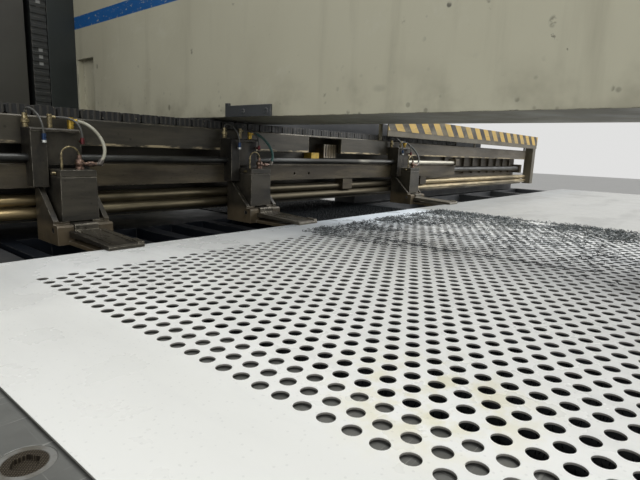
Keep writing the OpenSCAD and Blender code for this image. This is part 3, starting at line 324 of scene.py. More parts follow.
def sheet_white():
    """Sheet: pale glossy coating, with grey smears in the far part of the hole field, and painted
    light and shade.
    """
    f = Finish("sheet_white", 0.0, 0.6)
    x, y = f.axis("X"), f.axis("Y")
    haze = f.between(f.noise(3.2, detail=6, twist=0.6), 0.40, 0.66)
    wipe = f.between(f.noise(26, (1, 0.2, 1), 5), 0.48, 0.74, 0.0, 0.4)
    back = f.between(y, -0.10, 0.16)
    # Painted light: the white is lifted from X -0.72 on, where the sheet lies in the arm's shade
    painted_light_white = f.mix(f.between(x, -0.84, -0.72), tone(234, 235, 231), tone(251, 252, 249))
    colour = f.mix(f.math("MULTIPLY", haze, 0.25), painted_light_white, tone(222, 223, 220))
    colour = f.mix(wipe, colour, tone(224, 225, 222))
    # Painted reflection: bluish grey towards the back, where the glossy sheet mirrors the dark
    # beam and arm
    painted_back_reflection = f.both(back, f.between(x, -0.45, 0.10, 0.15, 0.70))
    colour = f.mix(painted_back_reflection, colour, tone(172, 186, 200))
    away = f.node("ShaderNodeVectorMath", {0: f.place, 1: STAIN_AT},
                  operation="DISTANCE").outputs["Value"]
    stain = f.both(f.between(away, 0.13, 0.03), f.between(f.noise(30, detail=5), 0.40, 0.62))
    colour = f.mix(f.math("MULTIPLY", stain, 0.6), colour, tone(232, 226, 188))
    field = f.both(f.between(x, 0.60, 0.56), f.between(y, 0.10, 0.07))
    far = f.both(field, f.between(x, -0.40, 0.14))
    smear = f.both(far, f.between(f.noise(21, (0.6, 1, 1), 7, 0.75), 0.34, 0.66, 0.35, 0.85))
    colour = f.mix(f.math("MULTIPLY", smear, 0.95), colour, tone(78, 86, 92))
    # Painted shade: the plain margin right of the hole field is painted grey, with mottled grey
    # over it
    margin = f.between(x, 0.56, 0.62)
    colour = f.mix(f.math("MULTIPLY", margin, 0.85), colour, tone(120, 120, 116))
    film = f.both(margin, f.between(f.noise(5, (0.5, 1.4, 1), 5), 0.48, 0.62, 0.0, 0.6))
    colour = f.mix(film, colour, tone(128, 128, 125))
    dust = f.between(f.cells(150), 0.20, 0.12)
    colour = f.mix(f.both(dust, f.math("MAXIMUM", far, 0.10)), colour, tone(84, 90, 94))
    edge = f.between(f.axis("Z"), PASS_Z + 0.0019, PASS_Z + 0.0012, 0.0, 0.9)
    colour = f.mix(edge, colour, tone(104, 101, 95))
    rough = f.between(f.noise(7, detail=5), 0.3, 0.7, 0.20, 0.42)
    rough = f.math("ADD", rough, f.math("MULTIPLY", margin, 0.15))
    return f.done(colour, rough, f.noise(90, detail=2), 0.00006)


def shaving_steel():
    """Shavings: dark steel with pale flecks."""
    f = Finish("shaving_steel", 0.6)
    fleck = f.between(f.noise(330, detail=3), 0.56, 0.66)
    colour = f.mix(f.between(f.noise(60), 0.35, 0.65), tone(34, 38, 42), tone(78, 84, 86))
    colour = f.mix(fleck, colour, tone(176, 180, 178))
    rough = f.between(f.noise(200), 0.3, 0.7, 0.28, 0.5)
    return f.done(colour, rough, f.noise(900), 0.00005)


def rail_steel():
    """Clamp rails: dull in the middle; the pale right end and the golden film at the left end are
    partly painted highlights.
    """
    f = Finish("gold_steel", 0.85)
    lines = f.noise(500, (0.04, 1, 1), 2)
    film = f.between(f.noise(9, (0.3, 1, 1), 5), 0.42, 0.66)
    # Left end: golden film and a painted reflection; right end: pale finish and a painted
    # highlight
    gold_film_and_reflection = f.between(f.axis("X"), -0.50, -0.80)
    pale = f.between(f.axis("X"), 0.84, 1.02)
    dull = f.inside(f.axis("X"), 0.0, 0.90, 0.05)
    colour = f.mix(gold_film_and_reflection, tone(142, 132, 108), tone(196, 172, 124))
    colour = f.mix(dull, colour, tone(84, 78, 64))
    colour = f.mix(pale, colour, tone(196, 180, 146))
    colour = f.mix(f.math("MULTIPLY", film, 0.7), colour, tone(72, 66, 52))
    colour = f.mix(f.between(lines, 0.3, 0.7, 0.0, 0.4), colour, tone(74, 68, 54))
    rough = f.between(f.noise(24, (0.04, 1, 1)), 0.3, 0.7, 0.26, 0.54)
    rough = f.math("ADD", rough, f.math("MULTIPLY", dull, 0.12))
    return f.done(colour, rough, lines, 0.00008, 0.0012)


def shaft_steel():
    """Round bar: dark oiled steel, with painted highlights left of the right clamp and past it."""
    f = Finish("shaft_steel", 0.8)
    lines = f.noise(500, (0.04, 1, 1), 2)
    film = f.between(f.noise(8, (0.25, 1, 1), 5), 0.40, 0.62)
    # Painted highlights: a bright band from X 0.55 to 0.74 and from X 0.90 to the bar's right end
    highlight_patch = f.both(f.inside(f.axis("X"), 0.55, 0.74, 0.02), f.between(film, 0.2, 0.9, 0.05, 0.35))
    wiped = f.math("MAXIMUM", highlight_patch, f.between(f.axis("X"), 0.90, 0.96))
    colour = f.mix(film, tone(76, 77, 76), tone(38, 38, 36))
    colour = f.mix(f.math("MULTIPLY", wiped, 0.9), colour, tone(204, 200, 184))
    colour = f.mix(f.between(lines, 0.3, 0.7, 0.0, 0.35), colour, tone(44, 42, 36))
    rough = f.between(f.noise(24, (0.04, 1, 1)), 0.3, 0.7, 0.28, 0.50)
    return f.done(colour, rough, lines, 0.00008)


def guard_paint():
    """Guard: grimy olive-beige paint, with the rear wall of the chain's trough painted near black
    as shade.
    """
    f = Finish("guard_paint")
    broad = f.between(f.noise(2.4, detail=6), 0.42, 0.66, 0.0, 0.7)
    streak = f.between(f.noise(22, (0.15, 1, 1), 4), 0.50, 0.74, 0.0, 0.5)
    colour = f.mix(broad, tone(92, 86, 70), tone(62, 57, 45))
    colour = f.mix(streak, colour, tone(54, 50, 40))
    worn = f.both(f.edges(0.003), f.between(f.noise(45), 0.45, 0.6))
    colour = f.mix(worn, colour, tone(142, 134, 112))
    # Painted shade: the rear wall of the chain's trough is painted near black
    wall = f.between(f.axis("Y"), TROUGH_WALL_Y - 0.012, TROUGH_WALL_Y - 0.006)
    colour = f.mix(wall, colour, tone(14, 18, 22))
    rough = f.between(f.noise(9), 0.3, 0.7, 0.38, 0.62)
    return f.done(colour, rough, f.noise(420), 0.00025, 0.003)


def sensor_boxes():
    """Sensors in the beam's window: a yellow box, and a dusty beige grille with dark columns."""
    f = Finish("yellow_box")
    x = f.axis("X")
    dust = f.between(f.noise(40, detail=5), 0.42, 0.70, 0.0, 0.6)
    column = f.between(f.math("SINE", f.math("MULTIPLY", x, 420.0)), 0.2, 0.8)
    grille = f.mix(column, tone(156, 146, 128), tone(54, 48, 40))
    colour = f.mix(f.between(x, GRILLE_X, GRILLE_X + 0.005), tone(196, 164, 58), grille)
    colour = f.mix(dust, colour, tone(104, 90, 62))
    rough = f.between(f.noise(25), 0.3, 0.7, 0.34, 0.6)
    return f.done(colour, rough, f.noise(500, detail=2), 0.0001, 0.001)


def plate_steel():
    """Table plates: grey steel with crossing scratches, wiped oil and rust-brown patches."""
    f = Finish("plate_steel", 0.75)
    long_way = f.noise(260, (0.03, 1, 1), 3)
    across = f.noise(260, (1, 0.03, 1), 3)
    cuts = f.math("MAXIMUM", f.between(long_way, 0.60, 0.72), f.between(across, 0.63, 0.74))
    haze = f.between(f.noise(5, detail=6), 0.40, 0.66)
    colour = f.mix(haze, tone(132, 133, 129), tone(104, 105, 102))
    colour = f.mix(f.math("MULTIPLY", cuts, 0.6), colour, tone(186, 186, 180))
    near = f.between(f.axis("X"), -1.00, -1.16)
    rust = f.both(f.between(f.noise(6, detail=7), 0.50, 0.62), f.math("MAXIMUM", near, 0.25))
    colour = f.mix(f.math("MULTIPLY", rust, 0.35), colour, tone(112, 88, 64))
    rough = f.between(f.noise(12, detail=5), 0.3, 0.7, 0.34, 0.60)
    height = f.math("SUBTRACT", f.noise(90, detail=3), cuts)
    return f.done(colour, rough, height, 0.00012, 0.001)


def plug_steel():
    """Plate plugs: a pale rim round a dark knurled middle, by the place of each plug."""
    f = Finish("plug_steel", 0.7)
    x = f.math("SUBTRACT", f.math("ABSOLUTE", f.axis("X")), PLUG_AT[0])
    y = f.math("SUBTRACT", f.axis("Y"), PLUG_AT[1])
    x, y = (f.math("WRAP", value, PLUG_HALF, -PLUG_HALF) for value in (x, y))
    away = f.math("SQRT", f.math("ADD", f.both(x, x), f.both(y, y)))
    middle = f.between(away, 0.0150, 0.0135)
    ridge_a = f.math("SINE", f.math("MULTIPLY", f.math("ADD", x, y), 2600.0))
    ridge_b = f.math("SINE", f.math("MULTIPLY", f.math("SUBTRACT", x, y), 2600.0))
    knurl = f.both(f.between(ridge_a, -1.0, 1.0), f.between(ridge_b, -1.0, 1.0))
    colour = f.mix(f.between(f.noise(60), 0.4, 0.7), tone(150, 150, 146), tone(120, 116, 106))
    dark = f.mix(knurl, tone(48, 42, 34), tone(96, 88, 74))
    colour = f.mix(middle, colour, dark)
    rough = f.between(middle, 0.0, 1.0, 0.34, 0.62)
    return f.done(colour, rough, f.both(knurl, middle), 0.0004, 0.0006)


def hazard():
    """Slanted yellow and dark stripes, scratched and dusty."""
    f = Finish("hazard")
    slant = f.math("MULTIPLY", f.math("ADD", f.axis("X"), f.axis("Z")), 8.0)
    wave = f.math("FRACT", slant)
    dark = f.both(f.between(wave, 0.02, 0.04), f.between(wave, 0.52, 0.50))
    colour = f.mix(dark, tone(184, 152, 74), tone(40, 38, 34))
    dust = f.between(f.noise(18, (0.3, 1, 1), 6), 0.40, 0.70, 0.0, 0.55)
    colour = f.mix(dust, colour, tone(128, 118, 92))
    scratch = f.between(f.noise(120, (0.05, 1, 1), 4), 0.62, 0.70, 0.0, 0.7)
    colour = f.mix(scratch, colour, tone(96, 88, 72))
    rough = f.between(f.noise(20), 0.3, 0.7, 0.42, 0.70)
    return f.done(colour, rough, f.noise(300), 0.0002)


def chain_black():
    """Energy chain: near black links with fine cross ribs and pale specks."""
    f = Finish("chain_black")
    rib = f.between(f.math("SINE", f.math("MULTIPLY", f.axis("X"), 420.0)), 0.1, 0.7)
    colour = f.mix(rib, tone(14, 15, 16), tone(44, 42, 37))
    specks = f.both(f.between(f.cells(95), 0.16, 0.10), f.between(f.noise(12), 0.46, 0.56))
    colour = f.mix(specks, colour, tone(132, 126, 108))
    rough = f.between(f.noise(30), 0.3, 0.7, 0.45, 0.75)
    return f.done(colour, rough, rib, 0.0010, 0.001)


def moulded(name, colour, dirt, gloss=0.5, ribs=0.0):
    """Moulded plastic or rubber with dust and a grained surface."""
    f = Finish(name)
    dust = f.between(f.noise(30, detail=5), 0.42, 0.72, 0.0, 0.6)
    body = f.mix(dust, colour, dirt)
    specks = f.between(f.cells(260), 0.2, 0.1, 0.0, 0.4)
    body = f.mix(specks, body, dirt)
    rough = f.between(f.noise(25), 0.3, 0.7, gloss - 0.1, gloss + 0.2)
    return f.done(body, rough, f.noise(700, detail=2), 0.0001, ribs)


def fittings():
    """Fittings: dull brass, bronze at the cylinders, blue and red elbows and yellow posts."""
    f = Finish("fitting_brass", 0.7)
    stain = f.between(f.noise(120, detail=4), 0.4, 0.7)
    colour = f.mix(stain, tone(140, 128, 96), tone(78, 70, 54))
    x, y, z = f.axis("X"), f.axis("Y"), f.axis("Z")

    def near(offset, reach):
        """1 within a reach of a place on each clamp."""
        found = 0.0
        for clamp_x in CLAMPS.values():
            away = f.math("ABSOLUTE", f.math("SUBTRACT", x, clamp_x + offset))
            found = f.math("MAXIMUM", found, f.between(away, reach, reach - 0.001))
        return found

    banjo = f.both(f.between(z, PASS_Z + 0.179, PASS_Z + 0.176), near(0.038, 0.036))
    colour = f.mix(banjo, colour, f.mix(stain, tone(130, 106, 92), tone(68, 58, 54)))
    arm = f.both(f.between(z, PASS_Z + 0.179, PASS_Z + 0.176), near(0.063, 0.015))
    colour = f.mix(arm, colour, f.mix(stain, tone(132, 126, 118), tone(72, 68, 66)))
    front = f.both(f.between(y, 0.437, 0.435), f.inside(z, PASS_Z + 0.198, PASS_Z + 0.222))
    blue = f.mix(stain, tone(38, 58, 90), tone(26, 40, 62))
    red = f.mix(stain, tone(100, 44, 46), tone(66, 34, 36))
    yellow = f.mix(stain, tone(176, 146, 56), tone(110, 90, 44))
    colour = f.mix(f.both(front, near(-0.051, 0.010)), colour, blue)
    tip = f.both(near(-0.051, 0.010), f.inside(z, PASS_Z + 0.198, PASS_Z + 0.206))
    colour = f.mix(f.both(front, tip), colour, tone(206, 208, 204))
    colour = f.mix(f.both(front, near(0.031, 0.010)), colour, red)
    high = f.between(z, PASS_Z + 0.2318, PASS_Z + 0.2324)
    colour = f.mix(f.both(high, near(0.024, 0.016)), colour, yellow)
    rough = f.between(f.noise(90), 0.3, 0.7, 0.20, 0.46)
    return f.done(colour, rough, f.noise(600), 0.00008, 0.0008)


def cabinet_paint():
    """Cabinet: warm dark grey doors, a darker panel and a black cable duct with pale dashes."""
    f = Finish("cabinet_paint")
    x, z = f.axis("X"), f.axis("Z")
    broad = f.between(f.noise(2.2, detail=6), 0.42, 0.68, 0.0, 0.6)
    colour = f.mix(broad, tone(58, 57, 51), tone(42, 40, 35))
    duct = f.inside(x, *DUCT_X)
    panel = f.inside(x, *PANEL_X)
    colour = f.mix(panel, colour, tone(30, 36, 35))
    colour = f.mix(duct, colour, tone(40, 42, 41))
    front = f.between(f.axis("Y"), 1.3250, 1.3235)
    row = f.between(f.math("FRACT", f.math("MULTIPLY", z, 1 / 0.024)), 0.48, 0.52)
    reach = f.math("MAXIMUM", f.inside(z, 1.428, 1.492), f.between(z, 1.630, 1.632))
    dash = f.both(f.inside(x, -0.293, -0.279), f.both(row, f.both(reach, front)))
    colour = f.mix(dash, colour, tone(158, 160, 156))
    worn = f.both(f.edges(0.002), f.between(f.noise(40), 0.45, 0.6))
    colour = f.mix(worn, colour, tone(110, 106, 96))
    rough = f.between(f.noise(8), 0.3, 0.7, 0.38, 0.58)
    return f.done(colour, rough, f.noise(420), 0.0002, 0.002)


def bristle_black():
    """Brush bristles: near black, with paler dusty tips."""
    f = Finish("brush_black", 0.0, 0.15)
    tip = f.between(f.axis("Z"), LANE_Z + 0.004, LANE_Z + 0.0095, 0.0, 0.5)
    tint = f.between(f.noise(70, detail=3), 0.4, 0.7)
    colour = f.mix(tint, tone(5, 9, 12), tone(12, 17, 20))
    colour = f.mix(tip, colour, tone(32, 38, 40))
    rough = f.between(f.noise(50), 0.3, 0.7, 0.55, 0.8)
    return f.done(colour, rough, f.noise(900), 0.0002)


def dress(material, *nodes):
    """Give CAD nodes a finish through their object's material slots."""
    for name in nodes:
        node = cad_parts[name]
        if not node.material_slots:
            node.data.materials.append(None)
        for slot in node.material_slots:
            slot.link = "OBJECT"
            slot.material = material


def add_piece(name, points, faces, material, body, smooth=False):
    """Mesh piece that rides on a body and takes its finish from a slot."""
    mesh = bpy.data.meshes.new(name)
    mesh.from_pydata(points, [], faces)
    mesh.validate()
    if smooth:
        mesh.shade_smooth()
    piece = bpy.data.objects.new(name, mesh)
    bpy.context.scene.collection.objects.link(piece)
    mesh.materials.append(material)
    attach(piece, body)
    return piece


def curve_point(guides, t):
    """Point of a cubic curve with four guide points."""
    u = 1 - t
    shares = (u ** 3, 3 * u * u * t, 3 * u * t * t, t ** 3)
    return sum((share * guide for share, guide in zip(shares, guides)), Vector())


def add_hose(name, node, clamp_x, guides, diameter, material):
    """Hose between two fittings of a clamp, along the same curve as its solid."""
    steps = 20
    shift = Vector((clamp_x, 0, PASS_Z))
    points = [shift + curve_point(guides, i / steps) for i in range(steps + 1)]
    curve = bpy.data.curves.new(name, "CURVE")
    curve.dimensions = "3D"
    curve.bevel_depth = diameter / 2
    curve.bevel_resolution = 4
    curve.use_fill_caps = True
    spline = curve.splines.new("POLY")
    spline.points.add(len(points) - 1)
    for target, point in zip(spline.points, points):
        target.co = (*point, 1.0)
    spline.use_smooth = True
    curve.materials.append(material)
    hose = bpy.data.objects.new(name, curve)
    bpy.context.scene.collection.objects.link(hose)
    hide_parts(node)
    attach(hose, "x_carriage")


def add_hoses():
    """Three hoses on each clamp; each clamp's supply hose has its own colour."""
    supply = {
        "1": moulded("hose_pale", tone(160, 158, 142), tone(104, 98, 82), 0.36),
        "2": moulded("hose_teal", tone(52, 92, 88), tone(92, 96, 86), 0.40),
        "3": moulded("hose_grey", tone(62, 66, 66), tone(92, 88, 78), 0.45),
    }
    dark = moulded("hose_dark", tone(70, 70, 66), tone(38, 36, 32), 0.34)
    for number, x in CLAMPS.items():
        supply_node = "supply_hose_" + number
        pilot_node = "pilot_hose_" + number
        add_hose("supply_line_" + number, supply_node, x, SUPPLY_ROUTE, SUPPLY_D,
                 supply[number])
        add_hose("pilot_line_" + number, pilot_node, x, PILOT_ROUTE, PILOT_D, dark)
        add_hose("return_line_" + number, pilot_node, x, RETURN_ROUTE, RETURN_D, dark)


class Slab:
    """Flat sheet built from one outline on its top and on its underside."""

    def __init__(self):
        self.points = []
        self.faces = []
        self.known = {}

    def point(self, x, y):
        key = (round(x, 6), round(y, 6))
        if key not in self.known:
            self.known[key] = len(self.points)
            self.points.append((x, y))
        return self.known[key]

    def face(self, outline):
        """Face on both sides of the sheet, counter-clockwise seen from above."""
        self.faces.append([2 * k + 1 for k in outline])
        self.faces.append([2 * k for k in reversed(outline)])

    def wall(self, a, b):
        """Upright wall from a to b with the metal on its left."""
        self.faces.append([2 * a, 2 * b, 2 * b + 1, 2 * a + 1])

    def vertices(self, low, high):
        return [(x, y, z) for x, y in self.points for z in (low, high)]


def hole_cell(slab, x, y, sides):
    """Cell of one hole: the metal round it and the hole's wall."""
    half_x, half_y = COLUMN / 2, HOLE_PITCH / 2
    border = [(1, 0), (1, 1), (-1, 1), (-1, 0), (-1, -1), (1, -1)]
    outer = [slab.point(x + i * half_x, y + j * half_y) for i, j in border]
    reach = HOLE_R
    if math.hypot(x, y - PUNCH_Y) < HOLE_R:
        # The punch enters this hole, so its sides lie outside the circle
        reach /= math.cos(math.pi / sides)
    ring = []
    for k in range(sides):
        a = 2 * math.pi * k / sides
        ring.append(slab.point(x + reach * math.cos(a), y + reach * math.sin(a)))
    turn = [math.atan2(j * half_y, i * half_x) % (2 * math.pi) for i, j in border]
    nearest = [round(a / (2 * math.pi) * sides) for a in turn] + [sides]
    for k in range(6):
        arc = [ring[m % sides] for m in range(nearest[k + 1], nearest[k] - 1, -1)]
        slab.face([outer[k], outer[(k + 1) % 6]] + arc)
    for k in range(sides):
        slab.wall(ring[(k + 1) % sides], ring[k])


def sheet_part(name, first, last, edge_left, edge_right, sides, material):
    """Part of the sheet from one hole column to another, with its plain margins."""
    low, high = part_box("perforated_sheet")
    half = HOLE_PITCH / 2
    y_low = PUNCH_Y + (FIRST_ROW - 0.5) * HOLE_PITCH
    rows = round((LAST_ROW + 1.0 - FIRST_ROW + 0.5) * 2)
    ys = [low.y] + [y_low + k * half for k in range(rows + 1)] + [high.y]
    xs = [(i - 0.5) * COLUMN for i in range(first, last + 2)]
    slab = Slab()
    for i in range(first, last + 1):
        shift = 0.0 if i % 2 == 0 else 0.5
        for j in range(FIRST_ROW, LAST_ROW + 1):
            hole_cell(slab, i * COLUMN, PUNCH_Y + (j + shift) * HOLE_PITCH, sides)
        left, right = xs[i - first], xs[i - first + 1]
        spare = rows if shift == 0 else 1
        strips = [(0, 1), (spare, spare + 1), (rows + 1, rows + 2)]
        for a, b in strips:
            corners = [(left, ys[a]), (right, ys[a]), (right, ys[b]), (left, ys[b])]
            slab.face([slab.point(*corner) for corner in corners])
    ends = []
    if edge_left:
        ends.append((low.x, xs[0]))
    if edge_right:
        ends.append((xs[-1], high.x))
    for left, right in ends:
        for a, b in zip(ys, ys[1:]):
            corners = [(left, a), (right, a), (right, b), (left, b)]
            slab.face([slab.point(*corner) for corner in corners])
    outer_left = low.x if edge_left else xs[0]
    outer_right = high.x if edge_right else xs[-1]
    line = sorted({outer_left, outer_right, *xs})
    for a, b in zip(line, line[1:]):
        slab.wall(slab.point(a, low.y), slab.point(b, low.y))
        slab.wall(slab.point(b, high.y), slab.point(a, high.y))
    for a, b in zip(ys, ys[1:]):
        slab.wall(slab.point(outer_right, a), slab.point(outer_right, b))
        slab.wall(slab.point(outer_left, b), slab.point(outer_left, a))
    piece = add_piece(name, slab.vertices(low.z, high.z), slab.faces, material,
                      "x_carriage")
    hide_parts("perforated_sheet")


def add_sheet():
    """Whole perforated sheet: finer holes close to the camera."""
    material = sheet_white()
    split = -10
    sheet_part("sheet_left", FIRST_COLUMN, split, True, False, 20, material)
    sheet_part("sheet_right", split + 1, LAST_COLUMN, False, True, 12, material)


def add_bristles():
    """Brush pads: tufts of leaning bristles on thin boards."""
    # Each pad from X to X, from Y to Y, and the spacing of its tufts
    pads = [
        (0.020, 0.690, 0.166, 1.080, 0.011),
        (0.470, 0.690, -1.214, 0.146, 0.014),
        (-0.690, -0.470, -1.214, 0.146, 0.014),
        (-0.400, 0.400, -0.594, 0.146, 0.014),
    ]
    low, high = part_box("brush_pads")
    dice = random.Random(7)
    points, faces = [], []
    for x0, x1, y0, y1, step in pads:
        y1 = min(y1, high.y)
        start = len(points)
        points += [(x, y, z) for z in (LANE_Z, LANE_Z + 0.003) for x, y in
                   ((x0, y0), (x1, y0), (x1, y1), (x0, y1))]
        faces += [[start + k for k in side] for side in BOX_FACES]
        for i in range(int((x1 - x0) / step)):
            for j in range(int((y1 - y0) / step)):
                for _ in range(3):
                    x = x0 + (i + 0.15 + 0.7 * dice.random()) * step
                    y = y0 + (j + 0.15 + 0.7 * dice.random()) * step
                    tip = (min(max(x + dice.uniform(-0.003, 0.003), x0), x1),
                           min(max(y + dice.uniform(-0.003, 0.003), y0), y1),
                           high.z - dice.uniform(0.0, 0.0015))
                    start = len(points)
                    for k in range(3):
                        a = 2 * math.pi * k / 3
                        points.append((x + 0.0007 * math.cos(a), y + 0.0007 * math.sin(a),
                                       LANE_Z + 0.0028))
                    points.append(tip)
                    faces += [[start, start + 1, start + 3], [start + 1, start + 2, start + 3],
                              [start + 2, start, start + 3], [start, start + 2, start + 1]]
    piece = add_piece("bristles", points, faces, bristle_black(), "frame")
    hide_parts("brush_pads")


def add_shavings():
    """Curled shavings on the sheet, thickest along the far edges of the hole field."""
    dice = random.Random(11)
    top = PASS_Z + 0.0021
    points, faces = [], []
    made = 0
    while made < 6800:
        x = dice.uniform(-0.15, FIELD_X + 0.03)
        y = dice.uniform(-0.90, FIELD_Y + 0.02)
        if math.hypot(x, y - PUNCH_Y) < PUNCH_ROOM:
            continue
        inward = max(min(FIELD_X - x, 1.4 * (FIELD_Y - y)), 0.0)
        clump = 0.5 + 0.9 * noise.noise(Vector((9 * x, 9 * y, 0.3)))
        if dice.random() > clump * (0.07 + math.exp(-inward / 0.13)) * (0.35 + max(x, 0.0)):
            continue
        made += 1
        heading = dice.uniform(0, 2 * math.pi)
        along = Vector((math.cos(heading), math.sin(heading), 0))
        aside = Vector((-along.y, along.x, 0))
        length = dice.uniform(0.005, 0.019)
        bend = dice.uniform(-0.5, 0.5) * length
        lift = dice.random() ** 2 * 0.006 * (1.6 if inward < 0.03 else 1.0)
        thick = dice.uniform(0.0004, 0.0010)
        start = len(points)
        for k in range(4):
            arch = math.sin(math.pi * k / 3 * 0.9)
            middle = Vector((x, y, top)) + length * (k / 3 - 0.5) * along + bend * arch * aside
            middle.z += lift * arch
            points += [middle - thick * aside, middle + thick * aside,
                       middle + Vector((0, 0, 1.4 * thick))]
        for k in range(3):
            low = start + 3 * k
            faces += [[low, low + 1, low + 4, low + 3], [low + 1, low + 2, low + 5, low + 4],
                      [low + 2, low, low + 3, low + 5]]
        faces += [[start, start + 2, start + 1], [start + 9, start + 10, start + 11]]
    add_piece("shavings", points, faces, shaving_steel(), "x_carriage")


def add_long_curl():
    """One long thin curl of steel across the sheet."""
    dice = random.Random(5)
    points, faces = [], []
    steps, sides, thick = 90, 5, 0.0009
    for i in range(steps + 1):
        y = -0.05 - 0.47 * i / steps
        x = -0.072 + 0.012 * math.sin(9 * y) + 0.0016 * dice.uniform(-1, 1)
        z = PASS_Z + 0.0032 + 0.0008 * dice.random()
        for k in range(sides):
            a = 2 * math.pi * k / sides
            points.append((x + thick * math.cos(a), y, z + thick * math.sin(a)))
    for i in range(steps):
        for k in range(sides):
            low, turn = i * sides, (k + 1) % sides
            faces.append([low + k, low + turn, low + sides + turn, low + sides + k])
    last = steps * sides
    faces += [list(range(sides - 1, -1, -1)), [last + k for k in range(sides)]]
    add_piece("long_curl", points, faces, shaving_steel(), "x_carriage")


def add_trough_wall():
    """Rear wall of the chain's trough, carried on behind the guard from the solid's wall, painted
    near black as shade.
    """
    x0, x1 = 0.738, 2.34
    y0, y1 = TROUGH_WALL_Y, TROUGH_WALL_Y + 0.004
    z0, z1 = BEAM_TOP, PASS_Z + 0.350
    points = [(x, y, z) for z in (z0, z1) for x, y in ((x0, y0), (x1, y0), (x1, y1), (x0, y1))]
    add_piece("trough_wall", points, BOX_FACES, guard_paint(), "y_carriage")


def dress_nodes():
    """Finishes of the nodes that keep their own shape."""
    dress(frame_paint(), "c_frame")
    dress(beam_steel(), "x_beam")
    dress(oily_steel("clamp_black", tone(18, 17, 15), tone(50, 46, 37), 0.35, 0.46, (1, 1, 0.5),
                     foot=tone(104, 92, 72)),
          "clamp_frame_1", "clamp_frame_2", "clamp_frame_3")
    dress(oily_steel("cylinder_black", tone(36, 35, 32), tone(70, 66, 57), 0.4, 0.40),
          "clamp_cylinders")
    dress(oily_steel("jaw_steel", tone(66, 63, 57), tone(124, 119, 108), 0.8, 0.34, (1, 0.2, 1)),
          "clamp_jaw_1", "clamp_jaw_2", "clamp_jaw_3")
    dress(oily_steel("carriage_steel", tone(52, 46, 35), tone(98, 89, 70), 0.45, 0.40),
          "carriage_plate", "rail_blocks")
    dress(rail_steel(), "x_rails")
    dress(shaft_steel(), "carriage_shaft")
    dress(bright_steel("screw_steel", tone(104, 105, 104), tone(60, 58, 54), 0.28),
          "x_screw", "jaw_pins")
    dress(bright_steel("y_steel", tone(170, 168, 162), tone(112, 108, 98), 0.30, (1, 0.04, 1)),
          "y_rails", "y_screw")
    dress(bright_steel("tool_steel", tone(160, 158, 154), tone(104, 100, 92), 0.34, (1, 1, 0.1)),
          "tool_guides", "dies", "station_punches", "active_punch", "levelling_feet",
          "turret_housings")
    dress(bright_steel("ram_steel", tone(190, 190, 186), tone(130, 124, 112), 0.22, (1, 1, 0.05)),
          "ram", "index_pin_upper", "index_pin_lower")
    dress(bright_steel("turret_steel", tone(140, 140, 138), tone(88, 84, 76), 0.38, (1, 1, 1), 90),
          "upper_turret", "lower_turret")
    dress(plate_steel(), "table_plates")
    dress(plug_steel(), "plate_plugs")
    dress(hazard(), "hazard_bar")
    dress(fittings(), "hose_fittings")
    dress(cabinet_paint(), "cabinet")
    dress(guard_paint(), "guard_frame")
    dress(painted("lane_paint", tone(10, 16, 24), tone(5, 8, 12), tone(70, 70, 68), 0.8, 0.6,
                  specular=0.2), "centre_table")
    dress(painted("grey_paint", tone(56, 58, 60), tone(22, 26, 32), tone(112, 112, 110), 0.8),
          "side_tables", "beam_saddles")
    dress(painted("door_paint", tone(96, 98, 96), tone(66, 64, 58), tone(130, 128, 122), 0.5),
          "cabinet_door")
    dress(painted("base_paint", tone(150, 149, 140), tone(104, 100, 88), tone(96, 92, 84), 0.6),
          "y_bases", "ram_cylinder")
    dress(painted("bracket_paint", tone(62, 65, 67), tone(38, 38, 36), tone(120, 120, 116), 0.6),
          "arm_bracket")
    dress(painted("pump_blue", tone(48, 92, 132), tone(40, 52, 60), tone(120, 122, 120), 0.6),
          "hydraulic_unit")
    dress(painted("motor_grey", tone(64, 68, 70), tone(38, 38, 36), tone(120, 120, 116), 0.6),
          "turret_motor", "y_drive", "x_motor")
    dress(painted("console_paint", tone(168, 169, 164), tone(120, 116, 104), tone(110, 110, 106)),
          "console_arm", "console")
    dress(chain_black(), "energy_chain")
    dress(sensor_boxes(), "beam_sensors")
    dress(moulded("stop_red", tone(196, 34, 28), tone(120, 40, 34), 0.3, 0.001), "e_stop")
    dress(moulded("start_green", tone(34, 140, 70), tone(40, 80, 56), 0.3, 0.001), "start_button")
    dress(moulded("stop_black", tone(34, 34, 36), tone(80, 78, 74), 0.3, 0.001), "stop_button")


def add_camera():
    """Camera at the photograph's place and angle."""
    level = math.cos(CAMERA_PITCH)
    forward = Vector((math.cos(CAMERA_YAW) * level, math.sin(CAMERA_YAW) * level,
                      -math.sin(CAMERA_PITCH)))
    right = Vector((math.sin(CAMERA_YAW), -math.cos(CAMERA_YAW), 0))
    down = forward.cross(right)
    tilted_right = math.cos(CAMERA_ROLL) * right - math.sin(CAMERA_ROLL) * down
    tilted_down = math.sin(CAMERA_ROLL) * right + math.cos(CAMERA_ROLL) * down
    turn = Matrix((tilted_right, -tilted_down, -forward)).transposed()
    data = bpy.data.cameras.new("camera")
    data.lens = CAMERA_LENS
    data.sensor_width = 36
    data.sensor_fit = "HORIZONTAL"
    data.clip_start = 0.02
    camera = bpy.data.objects.new("camera", data)
    camera.matrix_world = Matrix.Translation(CAMERA_AT) @ turn.to_4x4()
    bpy.context.scene.collection.objects.link(camera)
    bpy.context.scene.camera = camera


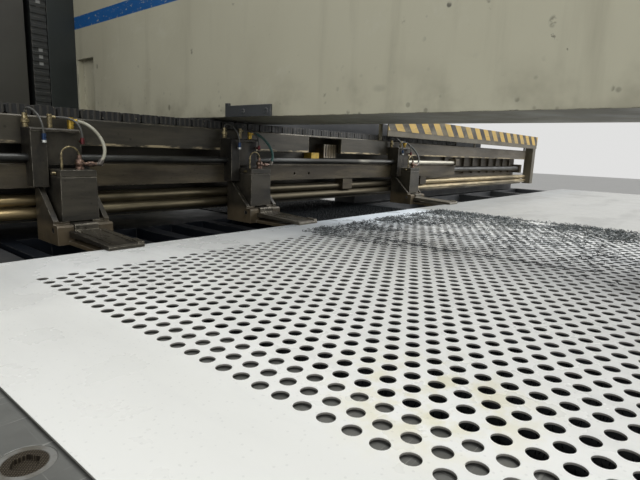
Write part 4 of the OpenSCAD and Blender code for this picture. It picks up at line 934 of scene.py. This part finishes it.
def add_lamp(name, place, target, size, power):
    """Soft rectangular lamp aimed at a point."""
    data = bpy.data.lights.new(name, "AREA")
    data.shape = "RECTANGLE"
    data.size, data.size_y = size
    data.energy = power
    lamp = bpy.data.objects.new(name, data)
    aim = (Vector(target) - Vector(place)).to_track_quat("-Z", "Y")
    lamp.matrix_world = Matrix.Translation(place) @ aim.to_matrix().to_4x4()
    bpy.context.scene.collection.objects.link(lamp)


def add_studio():
    """Pale floor, pale surroundings and soft lamps."""
    floor = Finish("floor")
    floor.done(floor.mix(floor.noise(0.8), tone(214, 214, 212), tone(222, 222, 220)), 0.7,
               floor.noise(40), 0.0002)
    mesh = bpy.data.meshes.new("floor")
    reach = 40.0
    mesh.from_pydata([(-reach, -reach, 0), (reach, -reach, 0), (reach, reach, 0),
                      (-reach, reach, 0)], [], [(0, 1, 2, 3)])
    mesh.materials.append(floor.material)
    ground = bpy.data.objects.new("floor", mesh)
    bpy.context.scene.collection.objects.link(ground)
    world = bpy.data.worlds.new("studio")
    bpy.context.scene.world = world
    world.use_nodes = True
    nodes, links = world.node_tree.nodes, world.node_tree.links
    shader = nodes["Background"]
    path = nodes.new("ShaderNodeLightPath")
    seen = nodes.new("ShaderNodeMath")
    seen.operation = "MAXIMUM"
    links.new(path.outputs["Is Camera Ray"], seen.inputs[0])
    links.new(path.outputs["Is Glossy Ray"], seen.inputs[1])
    either = nodes.new("ShaderNodeMath")
    either.operation = "MAXIMUM"
    links.new(seen.outputs[0], either.inputs[0])
    links.new(path.outputs["Is Transmission Ray"], either.inputs[1])
    level = nodes.new("ShaderNodeMapRange")
    level.inputs[3].default_value = 0.45
    level.inputs[4].default_value = 0.75
    links.new(either.outputs[0], level.inputs[0])
    links.new(level.outputs[0], shader.inputs["Strength"])
    shader.inputs["Color"].default_value = (1.0, 1.0, 0.99, 1.0)
    add_lamp("overhead", (1.6, -1.4, 5.2), (0.1, -0.2, 0.9), (5.0, 4.0), 300)
    add_lamp("front_left", (-5.0, -4.2, 3.4), (0.2, 0.3, 1.0), (3.5, 2.5), 110)
    add_lamp("right", (6.0, -3.5, 3.6), (0.6, 0.2, 1.0), (3.5, 2.5), 160)


add_camera()
add_hoses()
add_sheet()
add_bristles()
add_shavings()
add_long_curl()
add_trough_wall()
dress_nodes()
add_studio()
bpy.context.scene.view_settings.view_transform = "Standard"
